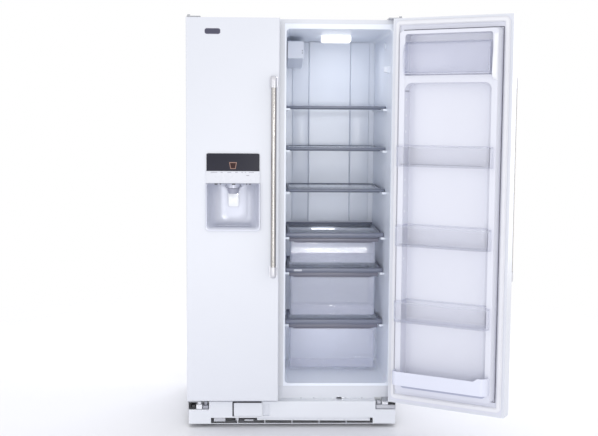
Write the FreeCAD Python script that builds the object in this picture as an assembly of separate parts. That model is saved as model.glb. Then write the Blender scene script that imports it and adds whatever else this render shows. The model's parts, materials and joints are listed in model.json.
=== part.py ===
import FreeCAD, Part
import math
import os

# Side by side refrigerator, in millimetres.
# +Z is up, the doors face -Y, the freezer is on the -X side and the refrigerator on the +X side.
# The origin is on the floor under the middle of the cabinet.
# The freezer door is shut and the refrigerator door stands open by door_open_angle.

# Cabinet
cabinet_width = 902.0
cabinet_depth = 712.0
cabinet_top = 1743.0
cabinet_bottom = 30.0
sheet = 1.0
flange_width = 18.0
rail_low = 137.0
rail_high = 171.5
pan_height = 131.0
liner_wall = 2.0
lip_overlap = 7.0
fit = 0.3

# Machine compartment at the bottom rear
machine_top = 300.0
machine_front = 470.0
machine_floor = 34.5
hump_insulation = 48.0

# Compartments: the walls round them at the front, and how far they narrow to the rear
split_x = -59.5
fridge_from_split = 26.0
freezer_from_split = 35.5
fridge_side_wall = 37.0
freezer_side_wall = 41.0
ceiling_wall = 39.0
opening_bottom = 182.5
opening_radius = 16.0
fridge_rear = 640.0
freezer_rear = 566.0
wall_taper = 11.0
floor_taper = 7.0
mullion_trim_width = 48.0

# Doors
door_bottom = 126.0
door_below_top = 2.0
door_gap = 5.0
door_thickness = 65.0
door_edge_radius = 5.0
gasket_depth = 11.6
gasket_width = 19.0
gasket_inset = 12.0
gasket_high = 11.0
gasket_low = 21.0
seal_clearance = 0.4
hinge_inset = 11.8
hinge_back = 20.4
hinge_pin_radius = 6.0
hinge_pin_depth = 16.0
hinge_sleeve_radius = 10.0
hinge_running_clearance = 0.05
hinge_plate = 4.0
door_open_angle = 150.0

# Door inner panels
dyke_depth = 57.0
dyke_width = 26.0
free_side_room = 15.5
hinge_side_room = 26.0
hinge_side_lap = 12.0
dyke_room_below = 6.5
dyke_room_above = 14.0
dyke_floor = 34.0
dyke_head = 20.0

# Handles
handle_radius = 11.0
handle_stand = 50.0
handle_low = 662.0
handle_high = 1501.0
handle_cap_radius = 14.0
handle_cap_length = 48.0
handle_from_split = 26.5

# Door bins
bin_levels = [1136.0, 810.0, 495.0]
bin_height = 85.0
bin_wall = 2.6
bin_reach = 44.0
bin_corner = 34.0
bin_room = 1.5
dairy_below_wall = 50.0
dairy_height = 132.0
dairy_back = 36.0
dairy_reach = 26.0
dairy_wall = 2.5
dairy_stud_radius = 2.5
dairy_stud_from_back = 8.0
dairy_stud_from_top = 12.0
retainer_low = 231.0
retainer_high = 288.0
retainer_wall = 3.0
freezer_bin_levels = [240.0, 430.0, 620.0, 1260.0]
freezer_bin_height = 95.0
freezer_bin_wall = 3.0

# Shelves and drawer covers
shelf_tops = [1384.0, 1201.0, 1017.0]
shelf_trim_height = 11.0
shelf_trim_depth = 20.0
shelf_front = 175.0
shelf_rear = 610.0
glass_thickness = 4.0
shelf_side_room = 3.5
shelf_side_trim = 10.0
ledge_height = 9.0
ledge_width = 9.0

# Freezer fittings: shelf levels, and each basket's lowest and highest point and its rear
freezer_shelf_levels = [1560.0, 1140.0, 900.0, 660.0]
freezer_shelf_plate = 5.0
freezer_shelf_front = 70.0
freezer_shelf_rear = 480.0
freezer_room = 2.0
freezer_baskets_at = [(418.0, 570.0, 470.0), (212.0, 380.0, 400.0)]
basket_room = 8.0
basket_wall = 3.0
ice_x = -250.0
ice_bin_low = 1190.0
ice_bin_high = 1400.0
ice_bin_front = 72.0
ice_bin_rear = 470.0
ice_bin_half_width = 131.0
ice_bin_wall = 4.0
auger_radius = 6.0
auger_height = 48.0
auger_paddle = 38.0

# Each drawer: cover top, cover trim height, front, rear, lowest and highest point of the tray
snack = {"cover": 820.0, "trim": 18.0, "front": 190.0, "rear": 500.0, "low": 682.0, "high": 796.0}
crisper = {"cover": 660.0, "trim": 18.0, "front": 202.0, "rear": 540.0, "low": 442.0, "high": 638.0}
lower = {"cover": 425.0, "trim": 20.0, "front": 207.0, "rear": 402.0, "low": 199.0, "high": 402.0}
drawer_wall = 2.5
drawer_left_room = 24.5
drawer_right_room = 38.0
cover_rear_rise = 8.0
drawer_lip = 15.0
drawer_lip_reach = 12.0

# Dispenser in the freezer door
dispenser_width = 221.0
dispenser_off_middle = 1.0
recess_low = 862.0
recess_high = 1055.0
strip_high = 1107.5
display_high = 1181.0
recess_depth = 84.0
recess_wall = 2.5
bulge_reach = 46.0
nozzle_radius = 34.0
nozzle_wall = 7.0
paddle_width = 46.0
paddle_low = 952.0
paddle_pivot_z = 1018.0

# Toe grille, filter and feet
grille_reach = 42.0
grille_low = 14.0
grille_block_high = 78.0
grille_high = 114.0
grille_block_width = 87.0
grille_wall = 2.5
flap_left = -252.0
flap_right = -129.5
flap_low = 49.0
flap_high = 107.0
flap_gap = 3.0
recess_right = -99.0
vent_low = 18.0
vent_high = 42.0
filter_radius = 24.0
foot_radius = 18.0
foot_height = 8.0
foot_stem_radius = 6.0
foot_inset = 56.0
foot_back = 32.0
roller_radius = 22.0
roller_width = 24.0
roller_inset = 59.0
roller_back = 640.0
roller_shaft_radius = 4.0
shaft_clearance = 0.05
base_inset = 5.0
rail_sheet = 2.0
rail_width = 38.0

# Door light switch on the refrigerator's right wall
switch_reach = 14.0
switch_width = 14.0
switch_boss_half = 14.0
switch_z = 1539.0

# Machinery
compressor_x = 250.0
compressor_from_rear = 122.0
compressor_radius = 74.0
fan_hub_radius = 16.0
condenser_fan_radius = 70.0
evaporator_fan_radius = 52.0

# Service connections at the rear
inlet_x = -330.0
inlet_z = 110.0
inlet_radius = 3.3
inlet_length = 12.0
gland_x = 330.0
gland_z = 250.0
gland_radius = 5.0
gland_wall = 4.0
gland_length = 22.0

front = -cabinet_depth / 2
rear = cabinet_depth / 2
half = cabinet_width / 2
skin_front = front - gasket_depth - seal_clearance - door_thickness
skin_back = front - gasket_depth - seal_clearance
hinge_x = half - hinge_inset
hinge_y = skin_front + hinge_back
opening_top = cabinet_top - ceiling_wall
door_top = cabinet_top - door_below_top
fridge_left = split_x + fridge_from_split
fridge_right = half - fridge_side_wall
freezer_left = -half + freezer_side_wall
freezer_right = split_x - freezer_from_split
freezer_edge = split_x - door_gap / 2
fridge_edge = split_x + door_gap / 2
dyke_low = opening_bottom + dyke_room_below
dyke_high = opening_top - dyke_room_above
dyke_left = fridge_left + free_side_room
dyke_right = fridge_right - hinge_side_room + hinge_side_lap
freezer_dyke_left = freezer_left + hinge_side_room - hinge_side_lap
freezer_dyke_right = freezer_right - free_side_room
dairy_high = dyke_high - dairy_below_wall
dairy_low = dairy_high - dairy_height
drawer_left = fridge_left + drawer_left_room
drawer_right = fridge_right - drawer_right_room
dispenser_x = (-half + freezer_edge) / 2 + dispenser_off_middle
dispenser_left = dispenser_x - dispenser_width / 2
dispenser_right = dispenser_x + dispenser_width / 2
paddle_y = skin_front + 72
base_side = half - base_inset
foot_side = half - foot_inset
roller_x = half - roller_inset
switch_x = fridge_right - switch_reach
flap_x = (flap_left + flap_right) / 2
flap_z = (flap_low + flap_high) / 2
grille_front = front - grille_reach
condenser_fan_place = (-40.0, rear - 120.0, 150.0)
evaporator_fan_place = (ice_x, front + freezer_rear - 34.0, 980.0)

X = FreeCAD.Vector(1, 0, 0)
Y = FreeCAD.Vector(0, 1, 0)
Z = FreeCAD.Vector(0, 0, 1)


def block(x0, x1, y0, y1, z0, z1):
    """A box between two values on each axis."""
    return Part.makeBox(x1 - x0, y1 - y0, z1 - z0, FreeCAD.Vector(x0, y0, z0))


def rod(radius, x, y, z, length, direction):
    """A round bar that starts at a point and runs along a direction."""
    return Part.makeCylinder(radius, length, FreeCAD.Vector(x, y, z), direction)


def rounded(solid, radius, direction, keep=lambda edge: True):
    """The solid with its edges along one direction rounded."""
    edges = []
    for edge in solid.Edges:
        way = edge.Vertexes[-1].Point.sub(edge.Vertexes[0].Point)
        if way.Length < 1e-6:
            continue
        if abs(way.normalize().dot(direction)) > 0.95 and keep(edge):
            edges.append(edge)
    return solid.makeFillet(radius, edges)


def joined(solids):
    """One solid from several that touch."""
    return solids[0].multiFuse(solids[1:]).removeSplitter()


def tapered(left, right, low, high, y0, y1, side_in, floor_in):
    """A four-sided room that narrows from the front at y0 to the rear at y1."""
    return Part.makeWedge(left, y0, low, low + floor_in, left + side_in,
                          right, y1, high, high - floor_in, right - side_in)


def turned_open(shape):
    """A shape on the refrigerator door, turned from shut to where the door stands."""
    copy = shape.copy()
    copy.rotate(FreeCAD.Vector(hinge_x, hinge_y, 0), Z, door_open_angle)
    return copy


def save(name, *shapes):
    """Writes one node: one solid, or a group of separate solids."""
    shape = shapes[0] if len(shapes) == 1 else Part.makeCompound(list(shapes))
    shape.exportStep(os.path.join("parts", name + ".step"))
    print(name, len(shape.Solids), round(shape.Volume / 1000), "cm3", shape.isValid())


# ---------------------------------------------------------------- cabinet

def hump(left, right, insulation):
    """The step in a compartment's floor over the machine compartment."""
    return block(left, right, front + machine_front - insulation, rear, 0, machine_top + insulation)


def compartment(left, right, depth, grow):
    """A compartment's inner room, or with grow its liner's outer shape."""
    room = tapered(left - grow, right + grow, opening_bottom - grow, opening_top + grow,
                   front, front + depth + grow, wall_taper, floor_taper)
    room = rounded(room, opening_radius + grow, Y)
    return room.cut(hump(left - 50, right + 50, hump_insulation - grow))


def outer_cabinet():
    """The wrapper: top, two sides and the flange round the front."""
    shell = block(-half, half, front, rear - sheet, cabinet_bottom, cabinet_top)
    shell = rounded(shell, 4, Y, lambda edge: edge.CenterOfMass.z > cabinet_top - 10)
    inner = block(-half + sheet, half - sheet, front + sheet, rear, 0, cabinet_top - sheet)
    window = block(-half + flange_width, half - flange_width, front - 1, front + 2 * sheet,
                   rail_high, cabinet_top - flange_width)
    below = block(-half + sheet, half - sheet, front - 1, front + 2 * sheet, 0, rail_low)
    return shell.cut(inner).cut(window).cut(below)


def rear_panel():
    """The flat sheet that closes the back above the machine compartment."""
    return block(-half, half, rear - sheet, rear, machine_top + 2, cabinet_top - 4)


def machine_cover():
    """The slotted board over the machine compartment at the back."""
    plate = block(-half + 12, half - 12, rear - 2, rear, cabinet_bottom + 6, machine_top)
    valve_half_width, valve_half_height = 42, 44
    cuts = [rod(gland_radius + gland_wall + fit, gland_x, rear - 3, gland_z, 4, Y),
            block(inlet_x - valve_half_width, inlet_x + valve_half_width, rear - 3, rear + 1,
                  inlet_z - valve_half_height, inlet_z + valve_half_height)]
    slot_length, slot_height, slot_pitch, row_pitch = 60, 8, 90, 38
    for column in range(5):
        for row in range(5):
            x = -220 + column * slot_pitch
            z = 80 + row * row_pitch
            cuts.append(block(x, x + slot_length, rear - 3, rear + 1, z, z + slot_height))
    return plate.cut(Part.makeCompound(cuts))


def cabinet_foam():
    """The foamed insulation between the wrapper, the two liners and the pan."""
    foam = block(-half + sheet, half - sheet, front + sheet + liner_wall, rear - sheet,
                 pan_height + sheet, cabinet_top - sheet)
    foam = rounded(foam, 3, Y, lambda edge: edge.CenterOfMass.z > cabinet_top - 10)
    foam = foam.cut(compartment(fridge_left, fridge_right, fridge_rear, liner_wall))
    foam = foam.cut(compartment(freezer_left, freezer_right, freezer_rear, liner_wall))
    return foam.cut(block(-half, half, front + machine_front, rear, 0, machine_top + sheet))


def liner(left, right, depth, lip_left, lip_right, ledges):
    """A compartment's vacuum-formed tub with its front lip and shelf ledges."""
    tub = compartment(left, right, depth, liner_wall)
    tub = tub.common(block(-half, half, front + sheet, rear, 0, cabinet_top))
    lip = block(lip_left, lip_right, front + sheet, front + sheet + liner_wall,
                rail_high - lip_overlap, cabinet_top - flange_width + lip_overlap)
    room = compartment(left, right, depth, 0)
    tub = tub.fuse(lip).cut(room)
    rails = []
    for top, start, end in ledges:
        for side in (-1, 1):
            x = left - 1 if side < 0 else right - wall_taper - ledge_width
            rail = block(x, x + ledge_width + wall_taper + 1, front + start, front + end,
                         top - ledge_height, top)
            rails.append(rounded(rail, 2, Y).common(room))
    return joined([tub] + rails)


def fridge_liner():
    """The refrigerator's tub, with ledges under its shelves and drawer covers."""
    ledges = [(top - shelf_trim_height - fit, shelf_front - 30, shelf_rear - 10) for top in shelf_tops]
    for drawer in (snack, crisper, lower):
        end = shelf_rear - 10 if drawer is snack else drawer["rear"] + 10
        ledges.append((drawer["cover"] - drawer["trim"] - fit, drawer["front"] - 20, end))
    tub = liner(fridge_left, fridge_right, fridge_rear, split_x - 4, half - flange_width + lip_overlap, ledges)
    start = front + dyke_depth - 5
    boss = block(switch_x + fit, fridge_right + 0.5, start, start + 38,
                 switch_z - switch_boss_half, switch_z + switch_boss_half)
    return joined([tub, boss.common(compartment(fridge_left, fridge_right, fridge_rear, 1))])


def freezer_liner():
    """The freezer's tub, with ledges under its shelves."""
    ledges = [(z - fit, freezer_shelf_front - 10, freezer_shelf_rear - 10) for z in freezer_shelf_levels]
    return liner(freezer_left, freezer_right, freezer_rear, -half + flange_width - lip_overlap, split_x - 5,
                 ledges)


def mullion_trim():
    """The painted strip over the wall between the compartments."""
    middle = (fridge_left + freezer_right) / 2
    return block(middle - mullion_trim_width / 2, middle + mullion_trim_width / 2, front, front + sheet,
                 rail_high + fit, cabinet_top - flange_width - fit)


def base_frame():
    """Two side rails, a front rail with its slots, nut plates and roller ears, and the bottom pan."""
    pieces = []
    ear_x = roller_x - 12
    ear_half = 16
    rail_end = rear - 12
    axle_y = front + roller_back
    foot_y = front + foot_back
    top = pan_height - 1
    for side in (-1, 1):
        web = block(base_side - rail_sheet, base_side, front + 5, rail_end, 31, top)
        shelf = block(base_side - rail_width, base_side - 1, front + 5, rail_end, 31, 31 + rail_sheet)
        window = block(roller_x - 4, roller_x + roller_width + 6, axle_y - 30, axle_y + 30, 20, 40)
        ear = block(ear_x, ear_x + rail_sheet, axle_y - ear_half, axle_y + ear_half, 10, top)
        tie = block(ear_x, base_side - 1, axle_y - ear_half, axle_y + ear_half, top - 2, top)
        plate = block(foot_side - 22, base_side - 1, foot_y - 18, foot_y + 18, 60, 63)
        drop = block(base_side - 3, base_side, axle_y - ear_half, axle_y + ear_half, 10, 40)
        rail = joined([joined([web, shelf.cut(window), ear, tie, plate]), drop])
        rail = rail.cut(rod(roller_shaft_radius + shaft_clearance, ear_x - 10, axle_y, roller_radius, 90, X))
        rail = rail.cut(rod(foot_stem_radius + fit, foot_side, foot_y, 50, 30, Z))
        pieces.append(rail if side > 0 else rail.mirror(FreeCAD.Vector(0, 0, 0), X))
    rail = block(-base_side, base_side, front + 3, front + 5, 58, top)
    slot = rounded(block(192, 216, front, front + 8, 114, 120), 2.9, Y)
    port = rod(filter_radius + 2, flap_x, front, flap_z, 8, Y)
    floor = block(-ear_x - 1, ear_x + 1, rear - 215, rear - 20, machine_floor - 1.5, machine_floor)
    frame = joined(pieces + [rail.cut(slot).cut(port), floor])
    back = front + machine_front
    inside = half - sheet
    pan = joined([block(-inside, inside, front + 3, back + sheet, pan_height, pan_height + sheet),
                  block(-inside, inside, back, back + sheet, pan_height, machine_top + sheet),
                  block(-inside, inside, back, rear - sheet, machine_top, machine_top + sheet)])
    return [frame, pan]


def toe_grille():
    """The moulded grille across the bottom front, lower at its two ends."""
    w = grille_wall
    y = grille_front
    back = front + 2.5
    end = base_side - grille_block_width
    low = block(-base_side, base_side, y, back, grille_low, grille_block_high)
    high = block(-end, end, y, back, grille_low, grille_high)
    body = rounded(low.fuse(high).removeSplitter(), 4, X, lambda edge: edge.CenterOfMass.y < y + 1)
    inner = block(-base_side + w, base_side - w, y + w, back + 1, grille_low - 1, grille_block_high - w)
    inner_high = block(-end + w, end - w, y + w, back + 1, grille_low - 1, grille_high - w)
    body = body.cut(inner.fuse(inner_high))
    cuts = [block(flap_left - flap_gap, flap_right + 0.6, y - 1, y + w + 1,
                  flap_low - 1, flap_high + flap_gap)]
    vents, vent_margin, vent_bar = 6, 8, 3
    pitch = 2 * (end - vent_margin) / vents
    for index in range(vents):
        x = -end + vent_margin + index * pitch
        cuts.append(block(x, x + pitch - vent_bar, y - 1, y + w + 1, vent_low, vent_high))
    body = body.cut(Part.makeCompound(cuts))
    scoop = rounded(block(flap_right + 2.6, recess_right, y - 1, y + 11, flap_low, flap_high - 5), 5, Y)
    cup = rounded(block(flap_right + 0.6, recess_right + 2, y + 1, y + 13, flap_low - 2, flap_high - 3), 6, Y)
    return body.fuse(cup).cut(scoop).removeSplitter()


def filter_flap():
    """The little door over the water filter, hung on a pin at its left side."""
    y = grille_front
    plate = rounded(block(flap_left, flap_right, y, y + 3, flap_low, flap_high), 5, Y,
                    lambda edge: edge.CenterOfMass.x < flap_left + 1)
    knuckle = rod(2, flap_left + 4, y + 4, flap_low + 6, flap_high - flap_low - 12, Z)
    return plate.fuse(knuckle).removeSplitter()


def water_filter():
    """The filter cartridge that lies behind the flap, with its turning grip."""
    start = grille_front + 9
    cartridge_length, grip_depth = 250, 14
    grip_half = filter_radius - 2
    body = rod(filter_radius, flap_x, start + grip_depth - 2, flap_z, cartridge_length, Y)
    grip = block(flap_x - grip_half, flap_x + grip_half, start, start + grip_depth, flap_z - 4, flap_z + 4)
    return body.fuse(grip).removeSplitter()


def levelling_legs():
    """The two threaded legs at the front corners."""
    legs = []
    for side in (-1, 1):
        stem = rod(foot_stem_radius, side * foot_side, front + foot_back, 0, 78, Z)
        pad = rod(foot_radius, side * foot_side, front + foot_back, 0, foot_height, Z)
        legs.append(stem.fuse(pad).removeSplitter())
    return legs


def rear_rollers():
    """The two rear rollers, each fast on its own short shaft."""
    rollers = []
    for side in (-1, 1):
        wheel = rod(roller_radius, roller_x, front + roller_back, roller_radius, roller_width, X)
        shaft = rod(roller_shaft_radius, roller_x - 14, front + roller_back, roller_radius, 70, X)
        roller = wheel.fuse(shaft).removeSplitter()
        rollers.append(roller if side > 0 else roller.mirror(FreeCAD.Vector(0, 0, 0), X))
    return rollers


def hinge_leaf(top):
    """One hinge of the refrigerator side: its plate, its pin and its screws."""
    plate_front = hinge_y - hinge_pin_radius - 5
    if top:
        z = cabinet_top
        plate = rounded(block(half - 60, half - 3, plate_front, front + 78, z, z + hinge_plate), 9, Z)
        pin_low = door_top - hinge_pin_depth
        pin = rod(hinge_pin_radius, hinge_x, hinge_y, pin_low, z + 10 - pin_low, Z)
        screws = [rod(6, half - 32 + dx, front + dy, z + hinge_plate - 0.1, 5, Z)
                  for dx, dy in ((-14, 30), (14, 30), (0, 60))]
        return joined([plate, pin] + screws)
    z = door_bottom - 8
    back = front + 2.9
    plate = rounded(block(half - 62, half - 2, plate_front, back, z, z + hinge_plate), 5, Z)
    leg = block(half - 62, half - 8, front - 0.1, back, z - 36, z + hinge_plate)
    collar = rod(13, hinge_x, hinge_y, z + hinge_plate - 0.1, 3.2, Z)
    pin = rod(hinge_pin_radius, hinge_x, hinge_y, z + 3, door_bottom + hinge_pin_depth - z - 3, Z)
    return joined([plate, leg, collar, pin])


def both_sides(solid):
    """The solid and its mirror image on the other side of the cabinet."""
    return [solid, solid.mirror(FreeCAD.Vector(0, 0, 0), X)]


# ---------------------------------------------------------------- machinery

def compressor():
    """The welded steel dome on its base plate, with its four feet."""
    x = compressor_x
    y = rear - compressor_from_rear
    r = compressor_radius
    dome_low, dome_middle, dome_high = 60, 170, 226
    dome = rod(r, x, y, dome_low, dome_middle - dome_low, Z)
    dome = dome.fuse(Part.makeSphere(r, FreeCAD.Vector(x, y, dome_middle)))
    dome = dome.common(block(x - r - 6, x + r + 6, y - r - 6, y + r + 6, 50, dome_high))
    plate = block(x - 95, x + 95, y - 70, y + 70, 54, dome_low + 0.1)
    feet = [rod(11, x + dx, y + dy, machine_floor, 54.1 - machine_floor, Z)
            for dx in (-82, 82) for dy in (-56, 56)]
    return joined([dome, plate] + feet)


def condenser_coil():
    """Rows of tube through three end and middle plates."""
    left, right = -290, -100
    start = rear - 190
    rows, columns, row_pitch, column_pitch = 6, 4, 34, 40
    tubes = []
    for row in range(rows):
        for column in range(columns):
            tubes.append(rod(3, left, start + column * column_pitch, 70 + row * row_pitch, right - left, X))
    plates = [block(x, x + 2, start - 15, start + 135, machine_floor, 256)
              for x in (left + 4, (left + right) / 2, right - 6)]
    return joined(tubes + plates)


def fan_rotor(x, y, z, direction, radius, blades):
    """A fan of tilted blades round a hub."""
    parts = [rod(fan_hub_radius, 0, 0, -10, 20, Z)]
    for index in range(blades):
        blade = block(fan_hub_radius - 4, radius, -18, 18, -1, 1)
        blade = rounded(blade, 6, Z, lambda edge: edge.CenterOfMass.x > radius - 2)
        blade.rotate(FreeCAD.Vector(0, 0, 0), X, 24)
        blade.rotate(FreeCAD.Vector(0, 0, 0), Z, index * 360 / blades)
        parts.append(blade)
    rotor = joined(parts)
    turn = FreeCAD.Rotation(Z, direction)
    rotor.Placement = FreeCAD.Placement(FreeCAD.Vector(x, y, z), turn)
    return rotor


def fan_motors():
    """The condenser fan's motor on its bracket, and the evaporator fan's motor on its plate."""
    x, y, z = condenser_fan_place
    lower_motor = rod(28, x + 14, y, z, 40.1, X)
    bracket = block(x + 54, x + 57, y - 70, y + 70, machine_floor, z + 40)
    x, y, z = evaporator_fan_place
    upper_motor = rod(28, x, y + 14, z, front + freezer_rear - y - 14, Y)
    return [joined([lower_motor, bracket]), upper_motor]


def water_valve():
    """The inlet valve at the rear, on its mounting plate, with its tube socket."""
    body = block(inlet_x - 20, inlet_x + 20, rear - 60, rear - 16, inlet_z - 30, inlet_z + 30)
    plate = block(inlet_x - 54, inlet_x + 54, rear - 6, rear - 4, inlet_z - 52, inlet_z + 52)
    socket = rod(9, inlet_x, rear - 17, inlet_z, 16, Y)
    bore = rod(inlet_radius, inlet_x, rear - 1 - inlet_length, inlet_z, inlet_length + 2, Y)
    coil_can = rod(14, inlet_x, rear - 40, inlet_z + 29.9, 30, Z)
    return joined([body, plate, socket, coil_can]).cut(bore)


def cord_gland():
    """The sleeve in the rear cover that the mains lead passes through."""
    proud = 4
    sleeve = rod(gland_radius + gland_wall, gland_x, rear - gland_length + proud, gland_z, gland_length, Y)
    collar = rod(gland_radius + gland_wall + 5, gland_x, rear + 0.1, gland_z, proud - 0.1, Y)
    bore = rod(gland_radius, gland_x, rear - gland_length, gland_z, gland_length + 10, Y)
    return sleeve.fuse(collar).cut(bore).removeSplitter()


def evaporator_coil():
    """Rows of finned tube behind the freezer's rear panel."""
    left, length, y = ice_x - 122, 244, front + freezer_rear - 30
    row_pitch, fin_pitch, fin_half_depth = 50, 29, 16
    tubes = [rod(4, left, y, 470 + row * row_pitch, length, X) for row in range(7)]
    fins = []
    for index in range(9):
        x = left + 6 + index * fin_pitch
        fins.append(block(x, x + 1, y - fin_half_depth, y + fin_half_depth, 452, 788))
    return joined(tubes + fins)


def evaporator_cover():
    """The freezer's rear panel, with air slots low down and an outlet for the fan."""
    y = front + freezer_rear - 66
    through = (y - 1, y + 4)
    room = wall_taper + freezer_room
    plate = block(freezer_left + room, freezer_right - room, y, y + 3, machine_top + hump_insulation + 4, 1180)
    cuts = []
    for row in range(4):
        z = 380 + row * 16
        cuts.append(block(ice_x - 130, ice_x + 125, *through, z, z + 8))
    outlet_radius, outlet_pitch = 60, 22
    fan_z = evaporator_fan_place[2]
    for row in range(5):
        height = (row - 2) * outlet_pitch
        reach = math.sqrt(outlet_radius ** 2 - height ** 2)
        cuts.append(block(ice_x - reach, ice_x + reach, *through, fan_z + height - 4, fan_z + height + 4))
    return plate.cut(Part.makeCompound(cuts))


# ---------------------------------------------------------------- inside the compartments

def rear_duct_panel():
    """The raised panel down the middle of the refrigerator's rear wall."""
    middle = (fridge_left + fridge_right) / 2 - 4.25
    half_width, thickness = 101, 10
    wall = front + fridge_rear
    panel = block(middle - half_width, middle + half_width, wall - thickness, wall,
                  snack["cover"] + thickness, opening_top - floor_taper - 2)
    return rounded(panel, 6, Z, lambda edge: edge.CenterOfMass.y < wall - 5)


def air_damper_box():
    """The cold air outlet at the top left of the refrigerator, with a sloped underside."""
    left = fridge_left + wall_taper * 0.9
    start, end, top = front + 330, front + 560, opening_top - 28
    outline = [(start, top - 76), (start, top), (end, top), (end, top - 110)]
    points = [FreeCAD.Vector(left, y, z) for y, z in outline]
    face = Part.Face(Part.makePolygon(points + points[:1]))
    body = rounded(face.extrude(FreeCAD.Vector(50 - left, 0, 0)), 6, Y, lambda edge: edge.CenterOfMass.x > 40)
    vents = []
    for index in range(4):
        y = start + 15 + index * 24
        vents.append(block(30, 52, y, y + 12, top - 54, top - 16))
    return body.cut(Part.makeCompound(vents))


def ceiling_light_lens():
    """The domed lens under the refrigerator's ceiling."""
    top = opening_top - floor_taper - 1
    middle, half_width = (fridge_left + fridge_right) / 2 + 6.75, 67
    lens = block(middle - half_width, middle + half_width, front + 300, front + 400, top - 22, top)
    return rounded(rounded(lens, 18, Z), 8, X, lambda edge: edge.CenterOfMass.z < top - 10)


def light_switch():
    """The plunger on the right wall that the shut door's panel comes up to."""
    y0 = front - gasket_depth - seal_clearance + dyke_depth + 1
    return rounded(block(switch_x - switch_width, switch_x, y0, y0 + 30, switch_z - 11, switch_z + 11), 3, Y)


def glass_shelf(top, trim_height, y0, y1, raised=0.0):
    """A glass pane in its moulded frame; the front and rear trims are deeper than the sides."""
    right = fridge_right - wall_taper - shelf_side_room
    lower_face = top - trim_height
    narrowed = wall_taper * (y0 + shelf_trim_depth) / fridge_rear + 1
    nose = block(fridge_left + narrowed, fridge_right - narrowed, front + y0, front + y0 + shelf_trim_depth,
                 lower_face, top)
    nose = rounded(nose, min(4, trim_height / 3), X, lambda edge: edge.CenterOfMass.y < front + y0 + 1)
    side = shelf_side_trim
    left_inner = fridge_left + wall_taper + 1
    body = block(left_inner, right, front + y0 + 1, front + y1, lower_face, top)
    window = block(left_inner + side, right - side, front + y0 + shelf_trim_depth, front + y1 - side,
                   lower_face - 1, top + 1)
    back = block(left_inner, right, front + y1 - side, front + y1, lower_face, top + raised)
    frame = joined([nose, body.cut(window), back])
    z0 = top - 1 - glass_thickness
    pane = block(left_inner + side / 2, right - side / 2, front + y0 + shelf_trim_depth - 6,
                 front + y1 - side / 2, z0, z0 + glass_thickness)
    return [frame.cut(pane), pane]


def drawer_cover(drawer):
    """A drawer's fixed cover: a shelf whose rear trim stands higher."""
    y1 = shelf_rear - 8 if drawer is snack else drawer["rear"] + 12
    return glass_shelf(drawer["cover"], drawer["trim"], drawer["front"] - 10, y1, cover_rear_rise)


def drawer_tray(drawer):
    """A clear open box with a lip along its front."""
    y0 = front + drawer["front"] + 6
    y1 = front + drawer["rear"]
    top = drawer["high"] - drawer_lip
    w = drawer_wall
    shell = rounded(block(drawer_left, drawer_right, y0, y1, drawer["low"], top), 12, Z)
    inner = block(drawer_left + w, drawer_right - w, y0 + w, y1 - w, drawer["low"] + w, top + 1)
    inner = rounded(inner, 10, Z)
    lip = block(drawer_left - 4, drawer_right + drawer_lip_reach, y0 - 6, y0 + 10, top, drawer["high"])
    groove = block(drawer_left, drawer_right + drawer_lip_reach - 4, y0 - 2, y0 + 11, top - 1,
                   drawer["high"] - 4)
    lip = rounded(lip, 3, X, lambda edge: edge.CenterOfMass.y < y0 - 5).cut(groove)
    riser = block(drawer_left + 14, drawer_right - 14, y0, y0 + w, top - 1, drawer["high"] - 2)
    return joined([shell.cut(inner), riser, lip])


def humidity_slider():
    """The small sliding tab in the front of the crisper's cover."""
    y = front + crisper["front"] - 10
    return rounded(block(8, 44, y - 4, y - 0.4, crisper["cover"] - 14, crisper["cover"] - 5), 2, Y)


def ice_maker():
    """The ice mould with its motor box, under the freezer's top shelf."""
    left, right, low, high = ice_x - 122, ice_x + 70, 1450, 1520
    start, end, wall = front + 300, front + 430, 12
    mould = block(left, right, start, end, low, high)
    trough = rounded(block(left + 10, right - 10, start + wall, end - wall, low + 16, high + 10), 8, X)
    motor_box = rounded(block(right - 0.1, ice_x + 128, start - 10, end + 6, low - 20, high + 10), 5, Z)
    return joined([mould.cut(trough), motor_box])


def ice_bin():
    """The open bin under the ice maker, with its outlet at the front."""
    w = ice_bin_wall
    x0 = ice_x - 3 - ice_bin_half_width
    x1 = ice_x - 3 + ice_bin_half_width
    y0 = front + ice_bin_front
    y1 = front + ice_bin_rear
    shell = rounded(block(x0, x1, y0, y1, ice_bin_low, ice_bin_high), 14, Z)
    inner = rounded(block(x0 + w, x1 - w, y0 + w, y1 - w, ice_bin_low + w, ice_bin_high + 1), 10, Z)
    outlet = block(ice_x - 40, ice_x + 40, y0 - 1, y0 + w + 1, ice_bin_low + 10, ice_bin_low + 90)
    shaft_hole = rod(auger_radius + shaft_clearance, ice_x, y1 - w - 1, ice_bin_low + auger_height, w + 4, Y)
    return shell.cut(inner).cut(outlet).cut(shaft_hole)


def ice_auger():
    """The turning shaft with paddles that brings the ice forward."""
    z = ice_bin_low + auger_height
    start = front + ice_bin_front + 12
    parts = [rod(auger_radius, ice_x, start, z, front + ice_bin_rear + 8 - start, Y)]
    paddles, paddle_pitch, paddle_turn = 8, 46, 40
    for index in range(paddles):
        paddle = rounded(block(-4, 4, -2, 2, -auger_paddle, auger_paddle), 1.5, Y)
        paddle.rotate(FreeCAD.Vector(0, 0, 0), Y, index * paddle_turn)
        paddle.translate(FreeCAD.Vector(ice_x, start + 16 + index * paddle_pitch, z))
        parts.append(paddle)
    return joined(parts)


def freezer_shelves():
    """The freezer's shelves: plates with a turned-up front edge."""
    plates = []
    left = freezer_left + wall_taper + freezer_room
    right = freezer_right - wall_taper - freezer_room
    start = front + freezer_shelf_front
    for z in freezer_shelf_levels:
        plate = block(left, right, start, front + freezer_shelf_rear, z, z + freezer_shelf_plate)
        nose = rounded(block(left, right, start - 8, start + 2, z, z + 18), 3, X)
        plates.append(joined([plate, nose]))
    return plates


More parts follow.
